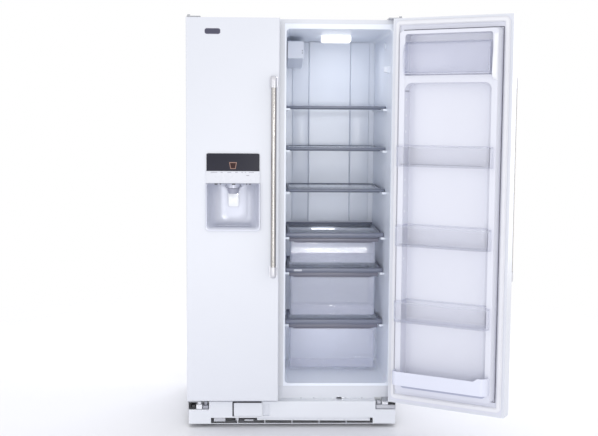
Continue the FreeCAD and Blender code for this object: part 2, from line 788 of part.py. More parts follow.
def freezer_baskets():
    """Two deep open baskets at the bottom of the freezer, with slots in their fronts."""
    baskets = []
    left = freezer_left + wall_taper + basket_room
    right = freezer_right - wall_taper - basket_room
    w = basket_wall
    y0 = front + freezer_shelf_front - 4
    slot_width, slot_pitch, slot_margin = 12, 27, 24
    for z0, z1, basket_rear in freezer_baskets_at:
        y1 = front + basket_rear
        shell = rounded(block(left, right, y0, y1, z0, z1), 12, Z)
        inner = rounded(block(left + w, right - w, y0 + w, y1 - w, z0 + w, z1 + 1), 12 - w, Z)
        slots = []
        for index in range(9):
            x = left + slot_margin + 2 + index * slot_pitch
            slots.append(block(x, x + slot_width, y0 - 6, y0 + 9, z0 + slot_margin, z1 - slot_margin - 6))
        baskets.append(shell.cut(inner).cut(Part.makeCompound(slots)))
    return baskets


# ---------------------------------------------------------------- doors, modelled shut

def door_outline(left, right, inset, y0, y1):
    """A door-sized block drawn in by inset on its four sides."""
    return block(left + inset, right - inset, y0, y1, door_bottom + inset, door_top - inset)


def hinge_bores(x, radius, length):
    """The two bores on the hinge line, from the door's bottom and top edges."""
    return [rod(radius, x, hinge_y, door_bottom - 1, length + 1, Z),
            rod(radius, x, hinge_y, door_top - length, length + 1, Z)]


def door_skin(left, right, hinge_line):
    """The painted steel pan: front, four sides, a narrow return, and a sleeve at each hinge pin."""
    pan = rounded(door_outline(left, right, 0, skin_front, skin_back), door_edge_radius, Z,
                  lambda edge: edge.CenterOfMass.y < skin_front + 1)
    inner = door_outline(left, right, sheet, skin_front + sheet, skin_back - sheet)
    inner = rounded(inner, door_edge_radius - sheet, Z, lambda edge: edge.CenterOfMass.y < skin_front + 2)
    window = door_outline(left, right, 10, skin_back - 2 * sheet, skin_back + 1)
    sleeve = hinge_pin_depth + 4
    sleeves = [rod(hinge_sleeve_radius, hinge_line, hinge_y, door_bottom + 0.5, sleeve, Z),
               rod(hinge_sleeve_radius, hinge_line, hinge_y, door_top - sleeve - 0.5, sleeve, Z)]
    skin = joined([pan.cut(inner).cut(window)] + sleeves)
    bores = hinge_bores(hinge_line, hinge_pin_radius + hinge_running_clearance, hinge_pin_depth + 2)
    return skin.cut(Part.makeCompound(bores))


def dyke_box(left, right, inset):
    """The raised walls round a door panel; with inset, the foam core inside them."""
    y0 = skin_back - liner_wall
    y1 = skin_back + dyke_depth - inset
    outer = tapered(left + inset, right - inset, dyke_low + inset, dyke_high - inset, y0, y1, 3, 6)
    outer = rounded(outer, 14 - inset, Y)
    reach = dyke_width - inset
    inner = block(left + reach, right - reach, y0 - 1, y1 + 1, dyke_low + dyke_floor - inset,
                  dyke_high - dyke_head + inset)
    return outer.cut(rounded(inner, 10 + inset, Y))


def dispenser_bulge(inset):
    """The raised housing behind the dispenser; with inset, the foam core inside it."""
    bulge = tapered(dispenser_left - 12 + inset, dispenser_right + 10 - inset, recess_low - 30 + inset,
                    display_high + 20 - inset, skin_back - liner_wall, skin_back + bulge_reach - inset, 4, 6)
    return rounded(bulge, 8 - inset, Y)


def panel_and_foam(edges, walls, skin, bulges, cuts):
    """A door's inner panel with its raised walls, and the foam that fills skin, panel and walls."""
    plate = door_outline(edges[0], edges[1], 10 + fit, skin_back - liner_wall, skin_back)
    raised = [dyke_box(walls[0], walls[1], 0)] + [bulge(0) for bulge in bulges]
    cores = [dyke_box(walls[0], walls[1], liner_wall)] + [bulge(liner_wall) for bulge in bulges]
    panel = joined([plate] + raised)
    for core in cores:
        panel = panel.cut(core)
    foam = rounded(door_outline(edges[0], edges[1], sheet, skin_front + sheet, skin_back - liner_wall),
                   door_edge_radius - sheet, Z, lambda edge: edge.CenterOfMass.y < skin_front + 2)
    foam = joined([foam] + cores).cut(skin)
    for cut in cuts:
        panel = panel.cut(cut)
        foam = foam.cut(cut)
    return panel, max(foam.Solids, key=lambda solid: solid.Volume)


def ring(left, right, y0, y1, low, high, width, outer_radius, inner_radius):
    """An upright rectangular ring with rounded corners."""
    outer = rounded(block(left, right, y0, y1, low, high), outer_radius, Y)
    hole = block(left + width, right - width, y0 - 1, y1 + 1, low + width, high - width)
    return outer.cut(rounded(hole, inner_radius, Y))


def gasket(left, right, low, high):
    """The magnetic seal: a rectangular ring whose face is narrower than its foot."""
    y1 = front - seal_clearance
    face, shoulder = 3, 5
    foot = ring(left, right, skin_back, y1 - face, low, high, gasket_width, 14, 12)
    crown = ring(left + shoulder, right - shoulder, y1 - face - 1, y1, low + shoulder, high - shoulder,
                 gasket_width - 2 * shoulder, 12, 12)
    return joined([foot, crown])


def handle(x):
    """A round tube between two end caps, each on a post that stands on the door."""
    y = skin_front - handle_stand
    seat = 12
    tube = rod(handle_radius, x, y, handle_low + seat, handle_high - handle_low - 2 * seat, Z)
    caps = []
    for z0, end in ((handle_low, handle_low), (handle_high - handle_cap_length, handle_high)):
        z1 = z0 + handle_cap_length
        cap = rod(handle_cap_radius, x, y, z0, handle_cap_length, Z)
        cap = cap.makeFillet(5, [edge for edge in cap.Edges
                                 if edge.Length > 60 and abs(edge.CenterOfMass.z - end) < 1])
        post = rounded(block(x - 10, x + 10, y, skin_front, z0 + 5, z1 - 5), 6, Y)
        foot = rounded(block(x - 16, x + 16, skin_front - 6, skin_front, z0, z1), 8, Y)
        caps.append(joined([cap, post, foot]).cut(tube))
    return [tube] + caps


def freezer_door():
    """The freezer door's skin, panel and foam, with room for the dispenser."""
    window = block(dispenser_left, dispenser_right, skin_front - 1, skin_front + 12, recess_low, display_high)
    tub = block(dispenser_left, dispenser_right, skin_front - 1, skin_front + recess_depth + recess_wall,
                recess_low, recess_high)
    skin = door_skin(-half, freezer_edge, -hinge_x).cut(window)
    walls = (freezer_dyke_left, freezer_dyke_right)
    panel, foam = panel_and_foam((-half, freezer_edge), walls, skin, [dispenser_bulge], [window, tub])
    return skin, panel, foam


def dispenser_cavity():
    """The moulded recess for a glass, with a curved back wall, a rim and a drip lip."""
    w = recess_wall
    rim_front = skin_front - 3
    back = skin_front + recess_depth + w
    rim_reach = 4
    left, right = dispenser_left - rim_reach, dispenser_right + rim_reach
    outer = block(dispenser_left + fit, dispenser_right - fit, skin_front, back - fit, recess_low + fit,
                  recess_high - fit)
    room = block(dispenser_left + w, dispenser_right - w, rim_front - 5, back - w - fit, recess_low + w + 12,
                 recess_high - w)
    room = rounded(room, 60, Z, lambda edge: edge.CenterOfMass.y > back - 10)
    lip = rounded(block(left, right, rim_front - 8, skin_front, recess_low - 6, recess_low + 14), 4, X,
                  lambda edge: edge.CenterOfMass.y < rim_front)
    rim = block(left, right, rim_front, skin_front, recess_low - 6, recess_high)
    return joined([outer, rim, lip]).cut(room)


def control_strip():
    """The white strip of touch keys between the display and the recess; its back fits in the door's window."""
    low = recess_high + fit
    face = block(dispenser_left - 2, dispenser_right + 2, skin_front - 5, skin_front, low, strip_high)
    face = rounded(face, 2, X, lambda edge: edge.CenterOfMass.y < skin_front - 4)
    back = block(dispenser_left, dispenser_right, skin_front - 1, skin_front + 10, low, strip_high)
    return joined([face, back])


def control_display():
    """The dark display window above the strip."""
    plate = block(dispenser_left + fit, dispenser_right - fit, skin_front - 4, skin_front + 10,
                  strip_high + fit, display_high - fit)
    return rounded(plate, 8, Y, lambda edge: edge.CenterOfMass.z > display_high - 5)


def dispenser_chute():
    """The round nozzle ring and ice chute at the top of the recess."""
    y = skin_front + recess_depth / 2
    height = 26
    ring = rod(nozzle_radius, dispenser_x, y, recess_high - recess_wall - height, height, Z)
    return ring.cut(rod(nozzle_radius - nozzle_wall, dispenser_x, y, recess_high - 40, 60, Z))


def dispenser_paddle():
    """The lever that a glass pushes back to start the dispenser."""
    left = dispenser_x - paddle_width / 2
    right = dispenser_x + paddle_width / 2
    arm = rounded(block(left, right, paddle_y - 3, paddle_y + 1, paddle_low, paddle_pivot_z + 2), 9, Y)
    pivot = rod(3, left, paddle_y - 1, paddle_pivot_z, paddle_width, X)
    return arm.fuse(pivot).removeSplitter()


def freezer_door_bins():
    """Four bins on the inside of the freezer door."""
    bins = []
    left = freezer_dyke_left + dyke_width + 1
    right = freezer_dyke_right - dyke_width - 1
    w = freezer_bin_wall
    back = skin_back + fit
    y1 = skin_back + dyke_depth - 2
    for z0 in freezer_bin_levels:
        z1 = z0 + freezer_bin_height
        shell = rounded(block(left, right, back, y1, z0, z1), 10, Z)
        inner = rounded(block(left + w, right - w, skin_back + w, y1 - w, z0 + w, z1 + 1), 8, Z)
        bins.append(shell.cut(inner))
    return bins


def door_bin(z0):
    """A clear bin: narrow between the panel's walls, wider and rounded in front of them."""
    between = dyke_width + bin_room
    y_mid = skin_back + dyke_depth + 1
    y1 = y_mid + bin_reach
    w = bin_wall

    def outline(grow, low, high):
        back = block(dyke_left + between + grow, dyke_right - between - grow, skin_back + fit + grow,
                     y_mid + 5, low, high)
        wide = block(dyke_left + 10 + grow, dyke_right - 2 - grow, y_mid + grow, y1 - grow, low, high)
        wide = rounded(wide, bin_corner - grow, Z, lambda edge: edge.CenterOfMass.y > y_mid + 20)
        return back.fuse(wide).removeSplitter()

    return outline(0, z0, z0 + bin_height).cut(outline(w, z0 + w, z0 + bin_height + 1)).removeSplitter()


def dairy_cover():
    """The flip-up cover of the dairy compartment at the top of the door, hung on two side studs."""
    left = dyke_left + dyke_width + bin_room
    right = dyke_right - dyke_width - bin_room
    y0 = skin_back + dairy_back
    y1 = skin_back + dyke_depth + dairy_reach
    w = dairy_wall

    def upper_front_edge(edge):
        return edge.CenterOfMass.y > y1 - w - 1.5 and edge.CenterOfMass.z > dairy_high - w - 1.5

    shell = rounded(block(left, right, y0, y1, dairy_low, dairy_high), 22, X, upper_front_edge)
    room = rounded(block(left + w, right - w, y0 - 1, y1 - w, dairy_low - 1, dairy_high - w), 20, X,
                   upper_front_edge)
    studs = [rod(dairy_stud_radius, x, y0 + dairy_stud_from_back, dairy_high - dairy_stud_from_top, 2.2, X)
             for x in (left - 1.2, right - 1)]
    return joined([shell.cut(room)] + studs)


def door_shelf():
    """The fixed white retainer across the bottom of the door."""
    left = dyke_left + 8
    right = dyke_right - 2
    y0 = skin_back + dyke_depth + 0.6
    y1 = skin_back + dyke_depth + 1 + bin_reach
    w = retainer_wall
    outer = block(left, right, y0, y1, retainer_low, retainer_high)
    outer = rounded(outer, 24, Z, lambda edge: edge.CenterOfMass.y > y1 - 1)
    inner = rounded(block(left + w, right - w, y0 - 1, y1 - w, retainer_low + w, retainer_high + 1), 24 - w, Z,
                    lambda edge: edge.CenterOfMass.y > y1 - w - 1)
    return outer.cut(inner)


def refrigerator_door():
    """The refrigerator door's skin, panel and foam."""
    skin = door_skin(fridge_edge, half, hinge_x)
    panel, foam = panel_and_foam((fridge_edge, half), (dyke_left, dyke_right), skin, [], [])
    return skin, panel, foam


def main():
    os.makedirs("parts", exist_ok=True)
    save("outer_cabinet", outer_cabinet())
    save("rear_panel", rear_panel())
    save("machine_cover", machine_cover())
    save("cabinet_foam", cabinet_foam())
    save("refrigerator_liner", fridge_liner())
    save("freezer_liner", freezer_liner())
    save("mullion_trim", mullion_trim())
    save("base_frame", *base_frame())
    save("toe_grille", toe_grille())
    save("filter_flap", filter_flap())
    save("water_filter", water_filter())
    save("levelling_legs", *levelling_legs())
    save("rear_rollers", *rear_rollers())
    save("top_hinges", *both_sides(hinge_leaf(True)))
    save("bottom_hinges", *both_sides(hinge_leaf(False)))
    save("compressor", compressor())
    save("condenser_coil", condenser_coil())
    save("fan_motors", *fan_motors())
    save("condenser_fan", fan_rotor(*condenser_fan_place, X, condenser_fan_radius, 5))
    save("evaporator_fan", fan_rotor(*evaporator_fan_place, Y, evaporator_fan_radius, 5))
    save("water_valve", water_valve())
    save("cord_gland", cord_gland())
    save("evaporator_coil", evaporator_coil())
    save("evaporator_cover", evaporator_cover())
    save("rear_duct_panel", rear_duct_panel())
    save("air_damper_box", air_damper_box())
    save("ceiling_light_lens", ceiling_light_lens())
    save("light_switch", light_switch())
    for name, top in zip(("upper_shelf", "middle_shelf", "bottom_shelf"), shelf_tops):
        save(name, *glass_shelf(top, shelf_trim_height, shelf_front, shelf_rear))
    covers = []
    for drawer in (snack, crisper, lower):
        covers += drawer_cover(drawer)
    save("drawer_covers", *covers)
    save("snack_drawer", drawer_tray(snack))
    save("crisper_drawer", drawer_tray(crisper))
    save("lower_drawer", drawer_tray(lower))
    save("humidity_slider", humidity_slider())
    save("ice_maker", ice_maker())
    save("ice_bin", ice_bin())
    save("ice_auger", ice_auger())
    save("freezer_shelves", *freezer_shelves())
    save("freezer_baskets", *freezer_baskets())

    skin, panel, foam = freezer_door()
    save("freezer_door_skin", skin)
    save("freezer_door_panel", panel)
    save("freezer_door_foam", foam)
    save("freezer_door_gasket", gasket(-half + gasket_inset + 2, freezer_edge - gasket_inset,
                                       door_bottom + gasket_low, door_top - gasket_high))
    save("freezer_handle", *handle(split_x - handle_from_split))
    save("control_display", control_display())
    save("control_strip", control_strip())
    save("dispenser_cavity", dispenser_cavity())
    save("dispenser_chute", dispenser_chute())
    save("dispenser_paddle", dispenser_paddle())
    save("freezer_door_bins", *freezer_door_bins())

    skin, panel, foam = refrigerator_door()
    save("refrigerator_door_skin", turned_open(skin))
    save("refrigerator_door_panel", turned_open(panel))
    save("refrigerator_door_foam", turned_open(foam))
    save("refrigerator_door_gasket", turned_open(gasket(fridge_edge + gasket_inset, half - gasket_inset - 2,
                                                        door_bottom + gasket_low, door_top - gasket_high)))
    save("refrigerator_handle", *[turned_open(piece) for piece in handle(split_x + handle_from_split)])
    save("dairy_cover", turned_open(dairy_cover()))
    save("refrigerator_door_bins", *[turned_open(door_bin(z0)) for z0 in bin_levels])
    save("door_shelf", turned_open(door_shelf()))


main()
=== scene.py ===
import math

import bmesh
import bpy
from mathutils import Matrix, Vector
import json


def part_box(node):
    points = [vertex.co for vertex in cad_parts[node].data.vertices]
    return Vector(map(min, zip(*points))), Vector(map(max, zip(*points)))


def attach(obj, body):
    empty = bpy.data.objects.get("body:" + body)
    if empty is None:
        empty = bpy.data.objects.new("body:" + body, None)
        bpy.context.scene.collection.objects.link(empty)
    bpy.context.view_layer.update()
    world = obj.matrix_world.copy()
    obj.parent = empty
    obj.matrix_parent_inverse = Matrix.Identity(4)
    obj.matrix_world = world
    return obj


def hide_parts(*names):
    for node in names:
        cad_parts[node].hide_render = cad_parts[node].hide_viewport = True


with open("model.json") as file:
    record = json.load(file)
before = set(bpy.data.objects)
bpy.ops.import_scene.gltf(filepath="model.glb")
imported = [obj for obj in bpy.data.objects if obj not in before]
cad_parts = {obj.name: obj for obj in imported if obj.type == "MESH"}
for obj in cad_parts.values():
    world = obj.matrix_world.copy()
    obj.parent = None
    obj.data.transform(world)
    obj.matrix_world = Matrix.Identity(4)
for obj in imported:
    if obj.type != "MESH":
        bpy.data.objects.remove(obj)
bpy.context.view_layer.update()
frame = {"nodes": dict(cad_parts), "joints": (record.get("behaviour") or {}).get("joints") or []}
scene = bpy.context.scene
nodes = frame["nodes"]

# ---------------- the room
# A white sweep of paper under and behind the refrigerator, lit evenly by a white room with soft boxes in front.
# The camera stands a little left of the middle of the unit, at eye height, and looks slightly down.

scene.view_settings.view_transform = "Standard"
scene.view_settings.look = "None"

camera_place = Vector((-0.1017, -4.7199, 1.3217))
camera_turn, camera_dip, camera_roll = math.radians(1.649), math.radians(5.464), math.radians(0.39)
camera = bpy.data.objects.new("camera", bpy.data.cameras.new("camera"))
camera.data.lens = 61.70
camera.matrix_world = (Matrix.Translation(camera_place) @ Matrix.Rotation(-camera_turn, 4, "Z")
                       @ Matrix.Rotation(math.pi / 2 - camera_dip, 4, "X") @ Matrix.Rotation(camera_roll, 4, "Z"))
scene.collection.objects.link(camera)
scene.camera = camera


def soft_box(name, place, aim, width, height, power):
    """A rectangular studio light that faces a point."""
    lamp = bpy.data.lights.new(name, "AREA")
    lamp.shape, lamp.size, lamp.size_y = "RECTANGLE", width, height
    lamp.energy = power
    holder = bpy.data.objects.new(name, lamp)
    holder.location = place
    holder.rotation_euler = (Vector(aim) - Vector(place)).to_track_quat("-Z", "Y").to_euler()
    scene.collection.objects.link(holder)


soft_box("front_soft_box", (0.42, -4.9, 1.20), (0.15, 0.0, 0.75), 0.46, 0.32, 29)
soft_box("low_soft_box", (-0.6, -4.4, 0.35), (0.0, -0.3, 0.5), 1.6, 0.5, 17)
soft_box("left_soft_box", (-3.2, -3.0, 1.5), (0.0, -0.3, 0.9), 1.2, 2.2, 13)
soft_box("right_soft_box", (3.0, 0.9, 1.4), (0.8, -0.6, 0.9), 1.0, 2.2, 16)
soft_box("rear_soft_box", (0.1, 2.6, 3.4), (0.0, -0.4, 0.0), 3.0, 1.0, 60)

world = bpy.data.worlds.new("studio")
world.use_nodes = True
world.node_tree.nodes["Background"].inputs["Color"].default_value = (1, 1, 1, 1)
world.node_tree.nodes["Background"].inputs["Strength"].default_value = 1.0
scene.world = world


class Wire:
    """A value that varies over a surface: sums on it add the matching nodes, and node() adds any other kind."""

    def __init__(self, tree, socket):
        self.tree, self.socket = tree, socket

    @staticmethod
    def node(tree, kind, settings=None, sockets=None, out=0):
        """Adds a node, sets its settings first and then its sockets, and wraps one output."""
        made = tree.nodes.new(kind)
        for name, value in (settings or {}).items():
            setattr(made, name, value)
        for name, value in (sockets or {}).items():
            target = made.inputs[name]
            if isinstance(value, Wire):
                tree.links.new(value.socket, target)
            else:
                target.default_value = value
        return Wire(tree, made.outputs[out])

    def math(self, operation, other):
        return Wire.node(self.tree, "ShaderNodeMath", {"operation": operation}, {0: self, 1: other})

    def __add__(self, other):
        return self.math("ADD", other)

    def __mul__(self, other):
        return self.math("MULTIPLY", other)


class Finish:
    """A surface finish: a Principled shader, with constants on its own sockets and links for what varies."""

    def __init__(self, name, color, rough, slot=None, **constants):
        self.slot = slot
        self.material = bpy.data.materials.new(name)
        self.material.use_nodes = True
        self.tree = self.material.node_tree
        self.shader = self.tree.nodes["Principled BSDF"]
        self.set("Base Color", (*color, 1))
        self.set("Roughness", rough)
        for socket, value in constants.items():
            self.set(socket.replace("_", " "), value)

    def set(self, socket, value):
        if isinstance(value, Wire):
            self.tree.links.new(value.socket, self.shader.inputs[socket])
        else:
            self.shader.inputs[socket].default_value = value
        return self

    def node(self, kind, settings=None, sockets=None, out=0):
        return Wire.node(self.tree, kind, settings, sockets, out)

    def place(self, scale=(1, 1, 1)):
        """Where a point lies on the piece, in metres, stretched by scale."""
        where = self.node("ShaderNodeTexCoord", out="Object")
        return self.node("ShaderNodeMapping", None, {"Vector": where, "Scale": scale})

    def noise(self, scale, detail=3.0, rough=0.55, stretch=(1, 1, 1)):
        return self.node("ShaderNodeTexNoise", None, {"Vector": self.place(stretch), "Scale": scale,
                                                      "Detail": detail, "Roughness": rough}, "Fac")

    def tones(self, factor, low, high):
        """A colour between two, by a factor. The low one may vary too."""
        low = low if isinstance(low, Wire) else (*low, 1)
        return self.node("ShaderNodeMix", {"data_type": "RGBA"}, {"Factor": factor, 6: low, 7: (*high, 1)}, 2)

    def edge_on(self):
        """Nought where the surface is seen square on, and one where it is seen edge-on."""
        turned = self.node("ShaderNodeLayerWeight", None, {"Blend": 0.5}, "Facing")
        return turned * turned * turned

    def bump(self, height, strength, distance):
        normal = self.node("ShaderNodeBump", None, {"Height": height, "Strength": strength, "Distance": distance},
                           "Normal")
        return self.set("Normal", normal)

    def clear(self, facing, edge):
        """Lets light through, less so where the surface is seen edge-on."""
        return self.set("Alpha", self.edge_on() * (edge - facing) + facing)

    def on(self, *pieces):
        """Puts the finish on pieces, or on carried-over nodes by their names."""
        for piece in pieces:
            materials = (nodes[piece] if isinstance(piece, str) else piece).data.materials
            materials.clear()
            materials.append(self.material)
        return self


def shaded(color, amount):
    """A colour made darker or lighter by an amount."""
    return tuple(min(1.0, channel * amount) for channel in color)


def varied(name, color, rough, depth=0.04, scale=9.0, grain=0.0, grain_scale=600.0, **constants):
    """A moulded or painted finish: its tone and gloss drift slightly, with a fine grain where it has one."""
    finish = Finish(name, color, rough, **constants)
    drift = finish.noise(scale, 2.0)
    finish.set("Base Color", finish.tones(drift, shaded(color, 1 - depth), shaded(color, 1 + depth)))
    finish.set("Roughness", drift * (rough * 0.3) + rough * 0.85)
    if grain:
        finish.bump(finish.noise(grain_scale, 2.0), grain, 0.0004)
    return finish


floor_reach = 9.0
floor_mesh = bmesh.new()
bmesh.ops.create_grid(floor_mesh, x_segments=24, y_segments=24, size=floor_reach)
floor_data = bpy.data.meshes.new("paper_floor")
floor_mesh.to_mesh(floor_data)
floor_mesh.free()
paper_floor = bpy.data.objects.new("paper_floor", floor_data)
scene.collection.objects.link(paper_floor)
paper = varied("paper", (0.78, 0.785, 0.83), 0.75, 0.008, 2.0)
span = paper.node("ShaderNodeVectorMath", {"operation": "LENGTH"}, {"Vector": paper.place()}, "Value")
paper.set("Alpha", paper.node("ShaderNodeMapRange", None, {"Value": span, "From Min": 1.2, "From Max": 3.2,
                                                          "To Min": 1.0, "To Max": 0.0}, "Result"))
paper.on(paper_floor)

# ---------------- case
# The wrapper is one bent steel sheet, enamelled white, with a flange round the front and a strip on the wall
# between the compartments. The back is bare zinc-coated sheet, held by screws along its edges.

enamel = varied("white_enamel", (0.665, 0.684, 0.742), 0.22, 0.012, 3.0, 0.03, 420.0, Coat_Weight=0.5,
                Coat_Roughness=0.07, slot="white_enamel").on("outer_cabinet")
varied("strip_enamel", (0.66, 0.675, 0.72), 0.3, 0.012, 3.0, 0.03, 420.0).on("mullion_trim")
zinc_color = (0.52, 0.54, 0.56)
zinc = Finish("zinc_sheet", zinc_color, 0.4, Metallic=0.85, slot="zinc_steel")
spangle = zinc.node("ShaderNodeTexVoronoi", {"feature": "F1"}, {"Vector": zinc.place(), "Scale": 95.0}, "Distance")
cloud = zinc.noise(7.0, 4.0)
zinc.set("Base Color", zinc.tones(spangle * 0.8 + cloud * 0.4, shaded(zinc_color, 0.85), shaded(zinc_color, 1.12)))
zinc.set("Roughness", cloud * 0.2 + 0.32)
zinc.bump(spangle, 0.12, 0.0003)
zinc.on("rear_panel", "base_frame", "levelling_legs")


def finished(name, mesh, finish, body="cabinet", stands_for=None, turn=None, crease=32):
    """Makes a piece of a mesh: smooth but for its creases, in its finish, and riding on its body."""
    if turn:
        bmesh.ops.transform(mesh, matrix=turn, verts=mesh.verts[:])
    limit = math.radians(crease)
    for face in mesh.faces:
        face.smooth = True
    for edge in mesh.edges:
        edge.smooth = edge.calc_face_angle(0) < limit
    data = bpy.data.meshes.new(name)
    mesh.to_mesh(data)
    mesh.free()
    piece = bpy.data.objects.new(name, data)
    scene.collection.objects.link(piece)
    finish.on(piece)
    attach(piece, body)
    if stands_for:
        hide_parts(stands_for)


def peg(mesh, place, turn, radius, tip, length, sides=20):
    """Adds a round peg that may taper to its tip; turn takes up to the way it points."""
    return bmesh.ops.create_cone(mesh, cap_ends=True, segments=sides, radius1=radius, radius2=tip, depth=length,
                                 matrix=Matrix.Translation(place) @ turn)


def add_screw(mesh, place, turn, radius=0.0042):
    """A pan-head screw with a sunk socket."""
    made = set(peg(mesh, place, turn, radius, radius * 0.74, radius * 0.5, 14)["verts"])
    outward = turn.to_3x3() @ Vector((0, 0, 1))
    crown = [face for face in mesh.faces if face.normal.dot(outward) > 0.99 and made.issuperset(face.verts)]
    bmesh.ops.inset_region(mesh, faces=crown, thickness=radius * 0.3, depth=-radius * 0.2)


look_back = Matrix.Rotation(math.radians(-90), 4, "X")
rear_low, rear_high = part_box("rear_panel")
rear_screws = bmesh.new()
screw_rows, screw_inset, screw_sink = 7, 0.009, 0.0006
for row in range(screw_rows):
    height = rear_low.z + screw_inset + row * (rear_high.z - rear_low.z - 2 * screw_inset) / (screw_rows - 1)
    for side in (-1, 1):
        add_screw(rear_screws, (side * (rear_high.x - screw_inset), rear_high.y - screw_sink, height), look_back)
finished("rear_panel_screws", rear_screws, zinc)

# ---------------- machine cover
# A pressed fibre board closes the machine compartment at the back. It is slotted for air and held by screws
# round its edge, and its face has the felted look of the board.

varied("pressed_board", (0.05, 0.05, 0.053), 0.8, 0.25, 60.0, 0.35, 700.0).on("machine_cover")
cover_low, cover_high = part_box("machine_cover")
cover_screws = bmesh.new()
for share in (0.02, 0.34, 0.66, 0.98):
    for height in (cover_low.z + screw_inset, cover_high.z - screw_inset):
        across = cover_low.x + share * (cover_high.x - cover_low.x)
        add_screw(cover_screws, (across, cover_high.y - screw_sink, height), look_back, 0.0048)
finished("machine_cover_screws", cover_screws, zinc)

# ---------------- insulation
# Polyurethane foam, blown between the sheets of the cabinet and of each door: cream, matt and full of fine cells.
# It shows nowhere when the refrigerator is assembled.

varied("foam", (0.82, 0.72, 0.44), 0.9, 0.12, 60.0, 0.6, 380.0).on(
    "cabinet_foam", "freezer_door_foam", "refrigerator_door_foam")

# ---------------- liners
# Each compartment is one tub of vacuum-formed white plastic with a faint blue cast and a soft gloss. The duct
# panel on the rear wall and the freezer's evaporator cover are separate mouldings of the same plastic.

liner = varied("liner_plastic", (0.80, 0.84, 0.925), 0.34, 0.015, 5.0, 0.05, 260.0, Coat_Weight=0.2,
               Coat_Roughness=0.2, slot="liner_white").on(
    "refrigerator_liner", "freezer_liner", "evaporator_cover", "rear_duct_panel")

# ---------------- machinery
# The compressor, condenser and fan motors are painted black, the fans and rollers are dark mouldings, and the
# valve and the ice maker are grey ones. The evaporator behind the freezer's rear wall has bare aluminium fins.

varied("black_paint", (0.025, 0.025, 0.028), 0.38, 0.2, 30.0, 0.08, 500.0).on(
    "compressor", "condenser_coil", "fan_motors")
varied("dark_moulding", (0.05, 0.05, 0.055), 0.5, 0.15, 40.0, 0.15, 800.0).on(
    "condenser_fan", "evaporator_fan", "cord_gland", "rear_rollers")
varied("grey_moulding", (0.30, 0.31, 0.33), 0.5, 0.1, 40.0, 0.12, 800.0).on("water_valve", "ice_maker")
varied("aluminium_fins", (0.75, 0.77, 0.79), 0.35, 0.08, 60.0, 0.1, 900.0, Metallic=0.9).on("evaporator_coil")

# ---------------- toe grille
# One white moulding across the foot, with air slots, a flap over the water filter and a finger scoop beside it.
# It clips to the base frame between the two bottom hinges.

white_trim = varied("white_moulding", (0.70, 0.72, 0.775), 0.3, 0.012, 8.0, 0.04, 500.0, slot="trim_white").on(
    "toe_grille", "filter_flap", "water_filter")

# ---------------- hinges and closing cams
# Each door turns on a steel hinge at its foot and its head. At the foot a black cam on the pin and a white
# roller block pull the door shut over its last few degrees, beside a grey stop.

varied("hinge_steel", (0.42, 0.43, 0.46), 0.34, 0.1, 40.0, 0.08, 900.0, Metallic=0.85).on(
    "top_hinges", "bottom_hinges")


def around(base, near, far):
    """Two limits measured from one base."""
    return base + near, base + far


def blocks(*boxes):
    """Plain boxes as one mesh, each given by a pair of limits on every axis."""
    mesh = bmesh.new()
    for box in boxes:
        middle = Vector([sum(pair) / 2 for pair in box])
        size = Vector([pair[1] - pair[0] for pair in box])
        bmesh.ops.create_cube(mesh, size=1, matrix=Matrix.LocRotScale(middle, None, size))
    return mesh


def edges_along(mesh, axis, where=lambda middle: True):
    """The edges that run along one axis and whose middle passes a test."""
    chosen = []
    for edge in mesh.edges:
        run = edge.verts[1].co - edge.verts[0].co
        if abs(run[axis]) > 0.999 * run.length and where((edge.verts[0].co + edge.verts[1].co) / 2):
            chosen.append(edge)
    return chosen


def round_off(mesh, edges, radius, steps=3):
    bmesh.ops.bevel(mesh, geom=edges, offset=radius, offset_type="OFFSET", segments=steps, profile=0.5,
                    affect="EDGES", material=-1, clamp_overlap=True)


def soft_block(across, deep, up, radius, steps=3, axes=(0, 1, 2), where=lambda middle: True):
    """A box with its edges along some axes rounded."""
    mesh = blocks((across, deep, up))
    round_off(mesh, [edge for axis in axes for edge in edges_along(mesh, axis, where)], radius, steps)
    return mesh


fine_edge = 0.0008, 2


def together(*shells):
    """Several closed shells as one mesh."""
    whole = bmesh.new()
    for shell in shells:
        data = bpy.data.meshes.new("shell")
        shell.to_mesh(data)
        shell.free()
        whole.from_mesh(data)
        bpy.data.meshes.remove(data)
    return whole


grille_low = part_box("toe_grille")[0]
cam_black = varied("cam_black", (0.03, 0.03, 0.035), 0.45, 0.2, 60.0, 0.1, 800.0, slot="fan_plastic")
cam_white = varied("cam_white", (0.80, 0.81, 0.86), 0.35, 0.03, 60.0, 0.05, 800.0, slot="trim_white")
cam_grey = varied("cam_grey", (0.36, 0.37, 0.42), 0.45, 0.05, 60.0, 0.1, 800.0, slot="grey_plastic")
cam_pale = varied("cam_pale", (0.50, 0.51, 0.56), 0.45, 0.05, 60.0, 0.1, 800.0, slot="grey_plastic")
cam_front, cam_back = grille_low.y + 0.001, grille_low.y + 0.036
